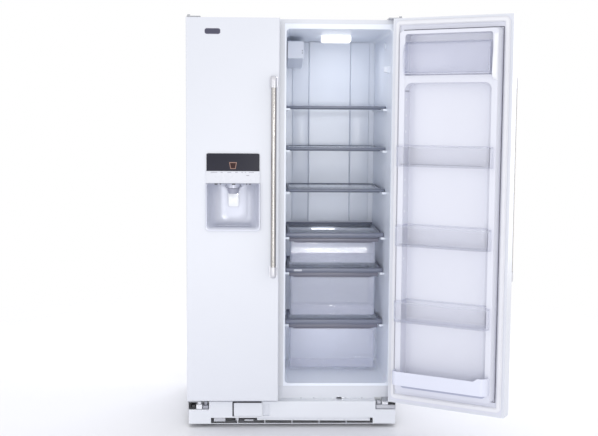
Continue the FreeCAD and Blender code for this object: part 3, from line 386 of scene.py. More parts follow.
# Each part: its left, right, foot and head, and how far its face stands back from the front.
cam_parts = (
    ("left_closing_cam", cam_black,
     ((-0.4445, -0.437, 0.080, 0.112, 0.0), (-0.4355, -0.4165, 0.080, 0.098, 0.006),
      (-0.4355, -0.4165, 0.101, 0.113, 0.016))),
    ("left_closing_roller", cam_white,
     ((-0.414, -0.3885, 0.0795, 0.100, 0.0), (-0.409, -0.3935, 0.1005, 0.112, 0.004))),
    ("left_hinge_stop", cam_grey,
     ((-0.386, -0.3625, 0.0795, 0.094, 0.003), (-0.381, -0.3665, 0.0945, 0.111, 0.010))),
    ("right_closing_cam", cam_black,
     ((0.437, 0.4445, 0.0975, 0.112, 0.0), (0.4175, 0.4355, 0.1015, 0.113, 0.012))),
    ("right_closing_roller", cam_white,
     ((0.3885, 0.4145, 0.098, 0.1125, 0.002),)),
    ("right_hinge_stop", cam_pale,
     ((0.3625, 0.4445, 0.0795, 0.0965, 0.004), (0.3665, 0.384, 0.098, 0.111, 0.012))),
)
for name, finish, parts in cam_parts:
    shells = [soft_block((left, right), (cam_front + back, cam_back), (low, high), 0.003)
              for left, right, low, high, back in parts]
    finished(name, together(*shells), finish)

# ---------------- front sill
# A strip of enamelled sheet closes the front of the case under the openings, over the edge of the insulation. A
# slot is cut in its lower half, and it carries four small marks.

sill_deep, sill_step = (-0.3550, -0.3532), 0.1206
sill = together(*[soft_block(across, sill_deep, up, edge, 1) for across, up, edge in (
    ((-0.4445, 0.4445), (sill_step, 0.1376), 0.0004), ((-0.358, 0.192), (0.1142, sill_step), 0.0003),
    ((0.2165, 0.358), (0.1142, sill_step), 0.0003))])
finished("front_sill", sill, enamel)
rail_marks = blocks(*[((across, across + 0.006), (sill_deep[0] - 0.0003, sill_deep[0] + 0.0002), (0.1160, 0.1190))
                      for across in (0.035, 0.090, 0.228, 0.300)])
finished("rail_marks", rail_marks, cam_grey)

# ---------------- rear wall pads
# Two flat panels of the liner's plastic lie on its rear wall, one on each side of the duct panel, with a hairline
# joint between them and it.


def prism(outline, axis, low, high, radii=0.0):
    """A flat outline across one axis, its corners rounded, raised along that axis to a closed solid."""
    mesh = bmesh.new()
    corners = [mesh.verts.new((*spot[:axis], low, *spot[axis:])) for spot in outline]
    mesh.faces.new(corners)
    radii = radii if isinstance(radii, (list, tuple)) else [radii] * len(outline)
    for radius in sorted(set(radii) - {0}):
        group = [corner for corner, own in zip(corners, radii) if own == radius]
        bmesh.ops.bevel(mesh, geom=group, offset=radius, offset_type="OFFSET", segments=8, profile=0.5,
                        affect="VERTICES", material=-1)
    raised = bmesh.ops.extrude_face_region(mesh, geom=mesh.faces[:])["geom"]
    lift = Vector((0, 0, 0))
    lift[axis] = high - low
    bmesh.ops.translate(mesh, verts=[part for part in raised if isinstance(part, bmesh.types.BMVert)], vec=lift)
    bmesh.ops.recalc_face_normals(mesh, faces=mesh.faces[:])
    return mesh


def rectangle(left, right, foot, head):
    return [(left, foot), (right, foot), (right, head), (left, head)]


duct_low, duct_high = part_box("rear_duct_panel")
pad_gap, pad_inset, pad_edge = 0.0004, 0.002, 0.0035
for name, across in (("left_rear_pad", (0.006, duct_low.x - pad_gap)),
                     ("right_rear_pad", (duct_high.x + pad_gap, 0.378))):
    finished(name, soft_block(across, (duct_low.y + 0.0004, duct_high.y - 0.0002),
                              (duct_low.z + pad_inset, duct_high.z - pad_inset), pad_edge, 4), liner)

# ---------------- gap round the filter flap, grille slot
# A dark strip on the grille's face is painted shade for the shadowed gap on two sides of the flap; it leaves room
# for the flap's swing. In the grille's long slot lie a louvre of the grille's own plastic and three small grey clips.

flap_low, flap_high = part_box("filter_flap")
# This dark finish is the real black of the clips under the key strip, and painted shade in the flap's gap.
painted_gap_shade_and_clip_black = varied("painted_gap_shade_and_clip_black", (0.02, 0.02, 0.03), 0.5, 0.1, 60.0, slot="fan_plastic")
gap_width, gap_play, swing_room = 0.0068, 0.0004, 0.0024
gap_left, gap_top = flap_low.x - gap_width, flap_high.z + gap_width
gap_foot, gap_right, gap_half_rise = flap_low.z - 0.001, flap_high.x - 0.004, 0.0002
inner_x, inner_z = flap_low.x - swing_room, flap_high.z + gap_play
flap_gap_painted_shade = prism([(gap_left, gap_foot), (inner_x, gap_foot), (inner_x, inner_z), (gap_right, inner_z),
                  (gap_right, gap_top), (gap_left, gap_top)], 1, flap_low.y - gap_half_rise,
                 flap_low.y + gap_half_rise, [0.001, 0, 0, 0, 0.001, 0.006])
finished("flap_gap_painted_shade", flap_gap_painted_shade, painted_gap_shade_and_clip_black)
slot_deep = around(grille_low.y, 0.0065, 0.0085)
louvre = prism([(-0.152, 0.0300), (0.336, 0.0265), (0.336, 0.0420), (-0.152, 0.0420)], 1, *slot_deep)
finished("grille_louvre", louvre, white_trim)
pipe_clips = together(*[soft_block(across, slot_deep, up, *fine_edge) for across, up in (
    ((-0.3385, -0.289), (0.0235, 0.0400)), ((-0.245, -0.232), (0.0280, 0.0400)),
    ((-0.207, -0.168), (0.0265, 0.0320)))])
finished("pipe_clips", pipe_clips, cam_pale)

# ---------------- light and air at the ceiling
# A frosted lens covers the lamp under the ceiling, and the cold air comes out of a moulded box at the top left
# with slots in its side. A sensor sits under a small ribbed cover on the right wall, near the light switch.

lens = Finish("lens", (1.0, 0.99, 0.96), 0.3, Emission_Color=(0.99, 0.995, 1.0, 1), Emission_Strength=0.9)
lens_ribs = lens.node("ShaderNodeTexWave", {"bands_direction": "X"}, {"Vector": lens.place(), "Scale": 60.0}, "Fac")
lens.bump(lens_ribs, 0.3, 0.0006)
lens.on("ceiling_light_lens")
lens_low, lens_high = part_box("ceiling_light_lens")
compartment_lamp = bpy.data.lights.new("compartment_lamp", "AREA")
compartment_lamp.shape, compartment_lamp.size, compartment_lamp.size_y = "RECTANGLE", 0.12, 0.08
compartment_lamp.energy = 0.42
lamp_holder = bpy.data.objects.new("compartment_lamp", compartment_lamp)
lamp_holder.location = ((lens_low.x + lens_high.x) / 2, (lens_low.y + lens_high.y) / 2, lens_low.z - 0.004)
scene.collection.objects.link(lamp_holder)

box_plastic = varied("air_box_plastic", (0.74, 0.77, 0.85), 0.3, 0.015, 8.0, 0.04, 500.0, slot="liner_white").on(
    "air_damper_box", "light_switch")
air_low, air_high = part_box("air_damper_box")
air_slots = blocks(*[(around(air_high.x, -0.0090, -0.0045), around(air_low.y, -0.0003, 0.0002),
                      (air_high.z - drop - 0.0065, air_high.z - drop)) for drop in (0.038, 0.049)])
finished("air_box_slots", air_slots, cam_grey)
liner_wall = 0.4035
sensor_cover = together(soft_block((0.4045, liner_wall + 0.0085), (-0.142, -0.112), (1.636, 1.664), 0.003),
                        *[soft_block((0.4025, 0.4049), (-0.138 + rib * 0.0055, -0.1352 + rib * 0.0055),
                                     (1.640, 1.660), *fine_edge) for rib in range(5)])
finished("sensor_cover", sensor_cover, box_plastic)
finished("sensor_gaps", blocks(((0.4036, 0.4046), (-0.1385, -0.1125), (1.641, 1.659))), cam_grey)

# ---------------- glass shelves
# Each shelf is a tempered glass pane in a slate-grey moulded frame with a round nose and a stiffening lip under
# it. The frame slides on ledges of the liner, so each shelf pulls forward by itself.

slate = varied("slate_trim", (0.17, 0.19, 0.25), 0.3, 0.05, 12.0, 0.05, 600.0, slot="slate_trim")
glass_color = (0.60, 0.66, 0.77)
shelf_glass = Finish("shelf_glass", glass_color, 0.04, Coat_Weight=1.0, Coat_Roughness=0.02, slot="clear_plastic")
shelf_glass.clear(0.12, 0.66)
sheen = shelf_glass.noise(6.0, 2.0)
shelf_glass.set("Base Color", shelf_glass.tones(sheen, shaded(glass_color, 0.96), shaded(glass_color, 1.04)))
nose_depth, side_rail, nose_overhang_left, nose_overhang_right = 0.020, 0.010, 0.0077, 0.0102
pane_thickness, pane_gap, pane_drop = 0.004, 0.0003, 0.001


def bored(mesh, axis, width):
    """Opens a solid through both its faces across one axis, and leaves a wall of a given width."""
    ends = [face for face in mesh.faces if abs(face.normal[axis]) > 0.99]
    bmesh.ops.inset_region(mesh, faces=ends, thickness=width, use_even_offset=True)
    loops = [edge for face in ends for edge in face.edges]
    bmesh.ops.delete(mesh, geom=ends, context="FACES_ONLY")
    bmesh.ops.bridge_loops(mesh, edges=loops)
    return mesh


def ring(across, deep, up, axis, width):
    """A rectangular ring round one axis."""
    return bored(blocks((across, deep, up)), axis, width)


def glazed_frame(across, deep, top, height, rear_rise=0.0):
    """A moulded frame with its round nose and lip, and the pane that lies in it, a little below its top."""
    left, right = across[0] + nose_overhang_left, across[1] - nose_overhang_right
    rails = ring((left, right), (deep[0] + nose_depth - 0.001, deep[1]), (top - height, top), 2, side_rail)
    round_off(rails, edges_along(rails, 0) + edges_along(rails, 1), 0.0012, 2)
    nose = soft_block(across, (deep[0], deep[0] + nose_depth), (top - height, top), 0.0045, 4, (0, 2),
                      lambda middle: middle.y < deep[0] + 0.001)
    lip = soft_block((left + 0.006, right - 0.012), (deep[0] + 0.005, deep[0] + 0.016),
                     (top - height - 0.0045, top - height), 0.0015, 2)
    shells = [rails, nose, lip]
    if rear_rise:
        shells.append(soft_block((left, right), (deep[1] - side_rail, deep[1]), (top, top + rear_rise), 0.002, 2))
    pane = soft_block((left + side_rail + pane_gap, right - side_rail - pane_gap),
                      (deep[0] + nose_depth + pane_gap, deep[1] - side_rail - pane_gap),
                      (top - pane_drop - pane_thickness, top - pane_drop), *fine_edge)
    return together(*shells), pane


for shelf in ("upper_shelf", "middle_shelf", "bottom_shelf"):
    low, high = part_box(shelf)
    shelf_frame, pane = glazed_frame((low.x, high.x), (low.y, high.y), high.z, high.z - low.z)
    finished(shelf + "_frame", shelf_frame, slate, shelf, shelf)
    finished(shelf + "_pane", pane, shelf_glass, shelf, shelf)

# ---------------- drawer covers
# Three fixed covers over the drawers, made like the shelves but with a higher rear trim that stops food from
# sliding off. The crisper's cover carries a small slider for its humidity vent.

covers_low, covers_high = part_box("drawer_covers")
cover_trim = varied("cover_trim", (0.185, 0.20, 0.265), 0.3, 0.05, 12.0, 0.05, 600.0, slot="slate_trim")
rear_rise = 0.008
# Each cover: its top, height, front and back, then the powers of the two lamps under it.
covers = {"snack": (0.820, 0.018, -0.176, 0.246, 0.003, 0.060),
          "crisper": (0.660, 0.018, -0.164, 0.196, 0.19, 0.045),
          "lower": (0.425, 0.020, -0.159, 0.058, 0.15, 0.070)}
for drawer, (top, height, near, far, _, _) in covers.items():
    cover_frame, pane = glazed_frame((covers_low.x, covers_high.x), (near, far), top, height, rear_rise)
    finished(drawer + "_cover_frame", cover_frame, cover_trim, "cabinet", "drawer_covers")
    finished(drawer + "_cover_pane", pane, shelf_glass, "cabinet", "drawer_covers")

# Seven small lamps that the refrigerator doesn't have: a wide and a narrow one under each cover and one over the
# top cover. They stand in for the glints of a studio lamp in the clear plastic and glass.
glint_x, lamp_drop, reach = 0.150, 0.012, 0.16
middle = (covers_low.x + covers_high.x) / 2
for drawer, (top, height, near, _, fill_power, glint_power) in covers.items():
    under = top - height - lamp_drop
    soft_box(drawer + "_fill", (middle, near + 0.03, under), (middle, near + reach, under - 0.12), 0.34, 0.012,
             fill_power)
    soft_box(drawer + "_glint", (glint_x, near + 0.06, under), (glint_x, near + reach, under - 0.10), 0.05, 0.008,
             glint_power)
soft_box("cover_glint", (glint_x, 0.09, covers["snack"][0] + lamp_drop), (glint_x, 0.09, 0.0), 0.11, 0.09, 0.15)

varied("slider_white", (0.55, 0.57, 0.64), 0.35, 0.02, 60.0, 0.05, 800.0).on("humidity_slider")

# ---------------- drawers
# Clear trays of tinted polystyrene with rounded corners and a step along the front. A grey strip along the top
# of the front is the handle, with a rib under it to pull on.


def hollow(mesh, wall, *open_sides):
    """Takes away the faces that look each of these ways, and gives the rest a wall inwards."""
    gone = [face for face in mesh.faces if any(face.normal.dot(Vector(side)) > 0.99 for side in open_sides)]
    bmesh.ops.delete(mesh, geom=gone, context="FACES")
    bmesh.ops.solidify(mesh, geom=mesh.faces[:], thickness=wall)
    return mesh


def foot_edges(mesh, level):
    return [edge for edge in mesh.edges if all(abs(vert.co.z - level) < 1e-5 for vert in edge.verts)]


upward, toward_door_back = (0, 0, 1), (0, -1, 0)


def clear_moulding(name, color, facing, edge):
    """Clear polystyrene: glossy, a little cloudy, with a faint ripple from the mould."""
    finish = Finish(name, color, 0.1, "clear_plastic", Coat_Weight=1.0, Coat_Roughness=0.03).clear(facing, edge)
    cloud = finish.noise(9.0, 3.0)
    cloudy = finish.tones(cloud, shaded(color, 0.965), shaded(color, 1.035))
    edge_color = (color[0] * 0.42, color[1] * 0.45, color[2] * 0.60)
    finish.set("Base Color", finish.tones(finish.edge_on(), cloudy, edge_color))
    finish.set("Roughness", cloud * 0.1 + 0.06)
    finish.bump(finish.noise(14.0, 2.0), 0.12, 0.003)
    return finish


drawer_tint = clear_moulding("drawer_tint", (0.78, 0.81, 0.96), 0.22, 0.78)
handle_grey = varied("handle_grey", (0.185, 0.185, 0.235), 0.32, 0.04, 30.0, 0.08, 700.0, slot="slate_trim")
drawer_wall, drawer_corner, rim_width = 0.0025, 0.012, 0.0045
lip_height, lip_front, lip_back = 0.015, 0.006, 0.010
drawer_lip_left, drawer_lip_right = 0.004, 0.012
for drawer, step_share in (("snack_drawer", 0.45), ("crisper_drawer", 0.26), ("lower_drawer", 0.20)):
    low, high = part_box(drawer)
    left, right = low.x + drawer_lip_left, high.x - drawer_lip_right
    face, far = low.y + lip_front, high.y
    rim = high.z - lip_height
    tray = prism(rectangle(left, right, face, far), 2, low.z, rim, drawer_corner)
    round_off(tray, foot_edges(tray, low.z), 0.006, 3)
    tray = hollow(tray, drawer_wall, upward)
    step = low.z + step_share * (rim - low.z)
    inner = (left + drawer_corner, right - drawer_corner)
    ridge = soft_block((left + 0.014, right - 0.014), around(face, -0.0015, 0.0004), around(step, -0.002, 0.002),
                       0.0007, 2)
    foot_band = soft_block(inner, around(face, 0.0040, 0.0062), (low.z + 0.004, step), 0.0007, 2)
    rim_up = around(rim, -0.001, 0.003)
    rims = [soft_block((near, near + rim_width), (face + lip_back, far - drawer_corner), rim_up, 0.001, 2)
            for near in (left, right - rim_width)] + [soft_block(inner, (far - rim_width, far), rim_up, 0.001, 2)]
    finished(drawer + "_tray", together(tray, ridge, foot_band, *rims), drawer_tint, drawer, drawer)
    strip = soft_block((low.x, high.x), (low.y, face + 0.003), (rim - 0.001, high.z), 0.003)
    crown = soft_block((low.x, high.x), (face, face + lip_back), (high.z - 0.004, high.z), 0.0012, 2)
    grip = soft_block((left + 0.016, right - 0.016), (low.y + 0.001, face), around(rim, -0.006, -0.001), 0.0015, 2)
    finished(drawer + "_handle", together(strip, crown, grip), handle_grey, drawer, drawer)

# ---------------- inside the freezer
# The freezer holds clear plates on the liner's ledges, two white pull-out baskets, and the ice maker over its
# clear bin, from which a steel auger feeds the dispenser.

clear_moulding("freezer_clear", (0.70, 0.73, 0.86), 0.2, 0.7).on("ice_bin", "freezer_shelves", "freezer_door_bins")
white_trim.on("freezer_baskets")
varied("auger_steel", (0.55, 0.56, 0.58), 0.25, 0.06, 60.0, 0.06, 900.0, Metallic=1.0).on("ice_auger")

# ---------------- freezer door
# The skin is one sheet of steel, folded round its edges and enamelled like the case. The white panel behind it is
# vacuum formed, and a bellows of soft vinyl with a magnet strip in its crown seals it to the cabinet.

door_enamel = varied("door_enamel", (0.642, 0.660, 0.722), 0.36, 0.012, 3.0, 0.03, 420.0, Coat_Weight=0.2,
                     Coat_Roughness=0.3, slot="white_enamel").on("freezer_door_skin", "refrigerator_door_skin")
door_panel = varied("door_panel_plastic", (0.66, 0.672, 0.755), 0.32, 0.015, 5.0, 0.04, 300.0, Coat_Weight=0.25,
                    Coat_Roughness=0.15, slot="liner_white").on("freezer_door_panel", "refrigerator_door_panel")
seal_vinyl = varied("seal_vinyl", (0.74, 0.745, 0.79), 0.55, 0.03, 20.0, 0.06, 700.0, Sheen_Weight=0.15,
                    slot="gasket")
seal_width, seal_corner = 0.019, 0.021
seal_layers = ((0.0, 0.0060), (0.0022, 0.0072), (0.0036, 0.0082), (0.0026, 0.0092), (0.0040, 0.0116))


def bellows(low, high):
    """The seal's ring in layers: a foot in the panel's groove, two folds and a narrower crown."""
    layers = []
    start = low.y
    for inset, top in seal_layers:
        outline = rectangle(low.x + inset, high.x - inset, low.z + inset, high.z - inset)
        layer = prism(outline, 1, start, low.y + top, seal_corner - inset)
        layers.append(bored(layer, 1, seal_width - 2 * inset))
        start = low.y + top
    return together(*layers)


low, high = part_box("freezer_door_gasket")
finished("freezer_seal", bellows(low, high), seal_vinyl, "freezer_door", "freezer_door_gasket")

# ---------------- badge
# A plain dark metal plate in a thin bright rim, stuck to the door's top left corner. It has no lettering.

badge_metal = varied("badge_metal", (0.07, 0.07, 0.105), 0.3, 0.06, 90.0, 0.05, 900.0, Metallic=0.6,
                     slot="slate_trim")
rim_metal = varied("badge_rim", (0.42, 0.42, 0.48), 0.25, 0.05, 90.0, 0.05, 900.0, Metallic=0.8,
                   slot="silver_plastic")
skin_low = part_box("freezer_door_skin")[0]
for name, finish, grown, stands_off, corner in (("badge_plate", badge_metal, 0.0, 0.0010, 0.008),
                                                ("badge_rim", rim_metal, 0.0012, 0.0006, 0.009)):
    outline = rectangle(-0.372 - grown, -0.309 + grown, 1.673 - grown, 1.695 + grown)
    finished(name, prism(outline, 1, skin_low.y - stands_off, skin_low.y + 0.0002, corner), finish, "freezer_door")

# ---------------- dispenser
# A silver moulded recess holds the glass, under a dark display and a white strip of touch keys. A clear chute
# under the nozzle ring carries the ice, and a white lever below it is pushed back by the glass.

silver = varied("silver_moulding", (0.58, 0.60, 0.69), 0.3, 0.03, 6.0, 0.02, 500.0, Metallic=0.12, Coat_Weight=0.15,
                Coat_Roughness=0.24, slot="silver_plastic")


def rounded_loop(mesh, left, right, foot, head, depth, radius, head_radius, steps=8):
    """A ring of corners round a rectangle that faces forward, its foot and head corners rounded."""
    loop = []
    for x, z, corner, start in ((right, foot, radius, -90), (right, head, head_radius, 0),
                                (left, head, head_radius, 90), (left, foot, radius, 180)):
        middle_x = x - corner if x == right else x + corner
        middle_z = z + corner if z == foot else z - corner
        for step in range(steps + 1):
            turn = math.radians(start + 90 * step / steps)
            loop.append(mesh.verts.new((middle_x + corner * math.cos(turn), depth,
                                        middle_z + corner * math.sin(turn))))
    return loop


cavity_low, cavity_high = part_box("dispenser_cavity")
recess_rings = ((0.0, 0.0, 0.0, 0.0112, 0.013, 0.002), (0.0, 0.0, 0.0, 0.0040, 0.013, 0.002),
                (0.0012, 0.0012, 0.0006, 0.0006, 0.012, 0.002), (0.0040, 0.0045, 0.0010, 0.0, 0.011, 0.002),
                (0.0060, 0.0080, 0.0014, 0.0016, 0.012, 0.002), (0.0070, 0.0140, 0.0016, 0.0080, 0.016, 0.002),
                (0.0120, 0.0175, 0.0025, 0.0400, 0.026, 0.003), (0.0230, 0.0200, 0.0035, 0.0700, 0.034, 0.004),
                (0.0400, 0.0240, 0.0050, 0.0880, 0.034, 0.006), (0.0640, 0.0360, 0.0100, 0.0945, 0.030, 0.010),
                (0.0850, 0.0560, 0.0300, 0.0947, 0.020, 0.010))
recess = bmesh.new()
loops = [rounded_loop(recess, cavity_low.x + inset, cavity_high.x - inset, cavity_low.z + foot, cavity_high.z - head,
                      cavity_low.y + depth, radius, head_radius)
         for inset, foot, head, depth, radius, head_radius in recess_rings]
for outer, inner in zip(loops, loops[1:]):
    for first in range(len(outer)):
        second = (first + 1) % len(outer)
        recess.faces.new((outer[first], inner[first], inner[second], outer[second]))
recess.faces.new(loops[-1])
bmesh.ops.recalc_face_normals(recess, faces=recess.faces[:])
if recess.faces[-1].normal.y > 0:
    bmesh.ops.reverse_faces(recess, faces=recess.faces[:])
bmesh.ops.solidify(recess, geom=recess.faces[:], thickness=0.0022)
finished("dispenser_recess", recess, silver, "freezer_door", "dispenser_cavity", crease=50)
display_glass = varied("display_glass", (0.008, 0.008, 0.020), 0.16, 0.06, 6.0, Specular_IOR_Level=0.34,
                       slot="display")
varied("key_strip", (0.62, 0.635, 0.695), 0.28, 0.01, 20.0, 0.03, 800.0).on("control_strip")
chute_grey = varied("chute_grey", (0.34, 0.35, 0.43), 0.3, 0.04, 30.0, 0.05, 700.0, slot="grey_plastic")

strip_low, strip_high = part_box("control_strip")
display_low, display_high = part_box("control_display")
ring_low, ring_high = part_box("dispenser_chute")
lever_low, lever_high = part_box("dispenser_paddle")
dispenser_x = (ring_low.x + ring_high.x) / 2
nozzle_y = (ring_low.y + ring_high.y) / 2
print_front, print_back = 0.0005, 0.0002
skin_face, window_head = -0.4334, 1.170
display = together(prism(rectangle(display_low.x, display_high.x, display_low.z, display_high.z), 1, display_low.y,
                         skin_face, [0, 0, 0.007, 0.007]),
                   soft_block((display_low.x, display_high.x), (skin_face, display_high.y),
                              (display_low.z, window_head), 0.0005, 1))
finished("display_window", display, display_glass, "freezer_door", "control_display")
corners = soft_block((display_low.x, display_high.x), (skin_face + 0.0001, display_high.y),
                     (window_head + 0.0002, display_high.z), 0.0003, 1)
finished("display_corners", corners, door_enamel, "freezer_door")

sign_left, sign_right, sign_low, sign_high, sign_line = -0.2715, -0.2395, 1.1165, 1.1445, 0.0013
copper = Finish("copper_print", (0.40, 0.24, 0.20), 0.4, Emission_Color=(0.60, 0.36, 0.30, 1), Emission_Strength=0.03,
                slot="display")
copper_flow = copper.noise(160.0, 2.0)
copper.set("Base Color", copper.tones(copper_flow, (0.26, 0.14, 0.11), (0.34, 0.19, 0.15)))
sign = prism([(sign_left + 0.005, sign_low), (sign_right - 0.005, sign_low), (sign_right, sign_high),
              (sign_left, sign_high)], 1, display_low.y - print_front, display_low.y + print_back)
for face in [face for face in sign.faces if face.normal.y < -0.99]:
    bmesh.ops.inset_region(sign, faces=[face], thickness=sign_line, use_even_offset=True)
    bmesh.ops.inset_region(sign, faces=[face], thickness=0.0001, depth=-0.0003, use_even_offset=True)
finished("tumbler_sign", sign, copper, "freezer_door")
brown = Finish("tumbler_fill", (0.085, 0.05, 0.05), 0.6, Specular_IOR_Level=0.1, slot="display")
brown.set("Base Color", brown.tones(brown.noise(120.0, 2.0), (0.035, 0.018, 0.020), (0.060, 0.032, 0.028)))
fill = prism([(sign_left + 0.0075, sign_low + 0.0025), (sign_right - 0.0075, sign_low + 0.0025),
              (sign_right - 0.0034, sign_high - 0.0030), (sign_left + 0.0034, sign_high - 0.0030)], 1,
             display_low.y - 0.0008, display_low.y - 0.0004)
finished("tumbler_fill", fill, brown, "freezer_door")

mark_grey = varied("mark_grey", (0.30, 0.30, 0.35), 0.5, 0.05, 60.0, slot="grey_plastic")
strip_left = strip_low.x + 0.002
print_deep = around(strip_low.y, -print_front, print_back)
key_marks = blocks(*[
    ((strip_left + start, strip_left + start + width), print_deep,
     (strip_high.z - drop, strip_high.z - drop + height))
    for start, width, drop, height in (
        (0.018, 0.027, 0.0066, 0.002), (0.059, 0.009, 0.0066, 0.002), (0.087, 0.016, 0.0066, 0.002),
        (0.120, 0.010, 0.0066, 0.002), (0.146, 0.006, 0.0066, 0.002), (0.160, 0.005, 0.0066, 0.002),
        (0.177, 0.021, 0.0066, 0.002), (0.166, 0.012, 0.0195, 0.0025))])
finished("key_marks", key_marks, mark_grey, "freezer_door")
under_strip = blocks(*[
    ((strip_left + start, strip_left + start + width), (-0.4438, -0.4372),
     around(strip_low.z, -drop, -0.0002))
    for start, width, drop in ((0.034, 0.013, 0.0044), (0.056, 0.006, 0.0036), (0.107, 0.014, 0.0052),
                               (0.165, 0.005, 0.0036), (0.178, 0.007, 0.0040))])
finished("strip_underside_clips", under_strip, painted_gap_shade_and_clip_black, "freezer_door")


def spun(profile, steps, x=0.0, y=0.0, closed=False):
    """A line of (radius, height) points turned about an upright axis; a closed line makes a ring."""
    mesh = bmesh.new()
    points = [mesh.verts.new((x + radius, y, height)) for radius, height in profile]
    for first, second in zip(points, points[1:] + points[:1] if closed else points[1:]):
        mesh.edges.new((first, second))
    bmesh.ops.spin(mesh, geom=mesh.verts[:] + mesh.edges[:], cent=(x, y, 0), axis=(0, 0, 1), angle=math.tau,
                   steps=steps, use_merge=True)
    bmesh.ops.recalc_face_normals(mesh, faces=mesh.faces[:])
    return mesh


ring_radius, ring_wire, ring_tilt = 0.0320, 0.0012, math.radians(20)
wire = [(ring_radius + ring_wire * math.cos(math.tau * step / 8), ring_wire * math.sin(math.tau * step / 8))
        for step in range(8)]
finished("nozzle_ring_edge", spun(wire, 48, closed=True), chute_grey, "freezer_door", "dispenser_chute",
         Matrix.Translation((dispenser_x, nozzle_y, ring_low.z + 0.0155)) @ Matrix.Rotation(ring_tilt, 4, "X"))
throat_radius, throat_wall, throat_height = 0.0275, 0.002, 0.0175
throat = spun(rectangle(throat_radius - throat_wall, throat_radius, 0, throat_height), 40, closed=True)
finished("nozzle_throat", throat, silver, "freezer_door", "dispenser_chute",
         Matrix.Translation((dispenser_x, nozzle_y, ring_high.z - throat_height - 0.0003)))
chute = spun([(radius, ring_low.z + rise) for radius, rise in (
    (0.0265, 0.004), (0.0250, -0.001), (0.0215, -0.010), (0.0205, -0.016))], 40, dispenser_x, nozzle_y)
bmesh.ops.solidify(chute, geom=chute.faces[:], thickness=0.0015)
finished("ice_chute", chute, chute_grey, "freezer_door")

lever_white = varied("lever_white", (0.84, 0.86, 0.90), 0.3, 0.01, 30.0, 0.03, 800.0, Coat_Weight=0.3,
                     slot="trim_white")
lever = prism([(lever_low.x + 0.001, lever_low.z), (lever_high.x - 0.001, lever_low.z),
               (lever_high.x, lever_high.z - 0.012), (lever_high.x - 0.006, lever_high.z - 0.004),
               (lever_low.x + 0.006, lever_high.z - 0.004), (lever_low.x, lever_high.z - 0.012)], 1,
              lever_low.y, lever_low.y + 0.004, [0.009, 0.009, 0.003, 0.003, 0.003, 0.003])
round_off(lever, [edge for edge in lever.edges if all(vert.co.y < lever_low.y + 0.0001 for vert in edge.verts)],
          0.0018, 3)
pin = bmesh.new()
lie_across = Matrix.Rotation(math.radians(90), 4, "Y")
peg(pin, (dispenser_x, lever_low.y + 0.003, lever_high.z - 0.003), lie_across, 0.003, 0.003,
    lever_high.x - lever_low.x)
flanges = [soft_block((near, near + 0.002), around(lever_low.y, 0.0035, 0.0060),
                      (lever_low.z + 0.012, lever_high.z - 0.010), *fine_edge)
           for near in (lever_low.x + 0.004, lever_high.x - 0.006)]
finished("dispenser_lever", together(lever, pin, *flanges), lever_white, "dispenser_paddle", "dispenser_paddle")

slat_count, slat_width = 15, 0.0045
slat_room = cavity_high.x - cavity_low.x - 0.080
slat_middles = [cavity_low.x + 0.040 + (slat + 0.5) * slat_room / slat_count for slat in range(slat_count)]
tray_grid = blocks(*[((middle - slat_width / 2, middle + slat_width / 2),
                      (cavity_low.y + 0.020, cavity_high.y - 0.030),
                      around(cavity_low.z, 0.0206, 0.0226)) for middle in slat_middles])
round_off(tray_grid, edges_along(tray_grid, 1, lambda middle: middle.z > cavity_low.z + 0.022), *fine_edge)
finished("drip_slats", tray_grid, silver, "freezer_door")

# ---------------- handles
# A tube of brushed stainless steel stands off each door between two die-cast caps. Each cap is a bullet shape
# with a collar where the tube enters it, on a post and a foot that are screwed to the door from inside.

brushed = Finish("brushed_steel", (0.66, 0.65, 0.65), 0.24, Metallic=1.0, slot="brushed_handle")
hairline = brushed.noise(90.0, 3.0, 0.6, (26, 26, 0.6))
steel_tone = brushed.tones(hairline, (0.33, 0.315, 0.31), (0.46, 0.445, 0.435))
# The tube's sides seen edge-on turn dark: painted reflection of dark surroundings, over the hairline tone.
brushed.set("Base Color", brushed.tones(brushed.edge_on(), steel_tone, (0.10, 0.095, 0.11)))
brushed.set("Roughness", hairline * 0.14 + 0.16)
brushed.bump(hairline, 0.05, 0.0002)
cap_silver = varied("cap_silver", (0.62, 0.62, 0.66), 0.3, 0.03, 60.0, 0.05, 900.0, Metallic=0.55, Coat_Weight=0.2,
                    slot="brushed_handle")
tube_radius, cap_radius, cap_length, collar_rise, collar_length = 0.011, 0.014, 0.048, 0.0006, 0.006
post_half, foot_half, foot_thickness = 0.010, 0.016, 0.006


def turned_cap(x, y, mouth, tip):
    """A bullet-shaped cap, spun round the tube's line, from its mouth to its rounded tip."""
    toward = 1 if tip > mouth else -1
    shank, dome = cap_radius - collar_rise, 0.016
    profile = [(tube_radius + 0.0002, mouth + toward * 0.004), (tube_radius + 0.0006, mouth),
               (cap_radius - 0.0008, mouth), (cap_radius, mouth + toward * 0.001),
               (cap_radius, mouth + toward * collar_length), (shank, mouth + toward * 0.0068),
               (shank, tip - toward * dome)]
    for step in range(1, 7):
        turn = step * math.pi / 12
        profile.append((shank * math.cos(turn) ** 0.8 if step < 6 else 0.0,
                        tip - toward * dome + toward * dome * math.sin(turn)))
    mesh = spun(profile, 36, x, y)
    bmesh.ops.remove_doubles(mesh, verts=mesh.verts[:], dist=1e-6)
    bmesh.ops.holes_fill(mesh, edges=[edge for edge in mesh.edges if edge.is_boundary])
    bmesh.ops.recalc_face_normals(mesh, faces=mesh.faces[:])
    return mesh


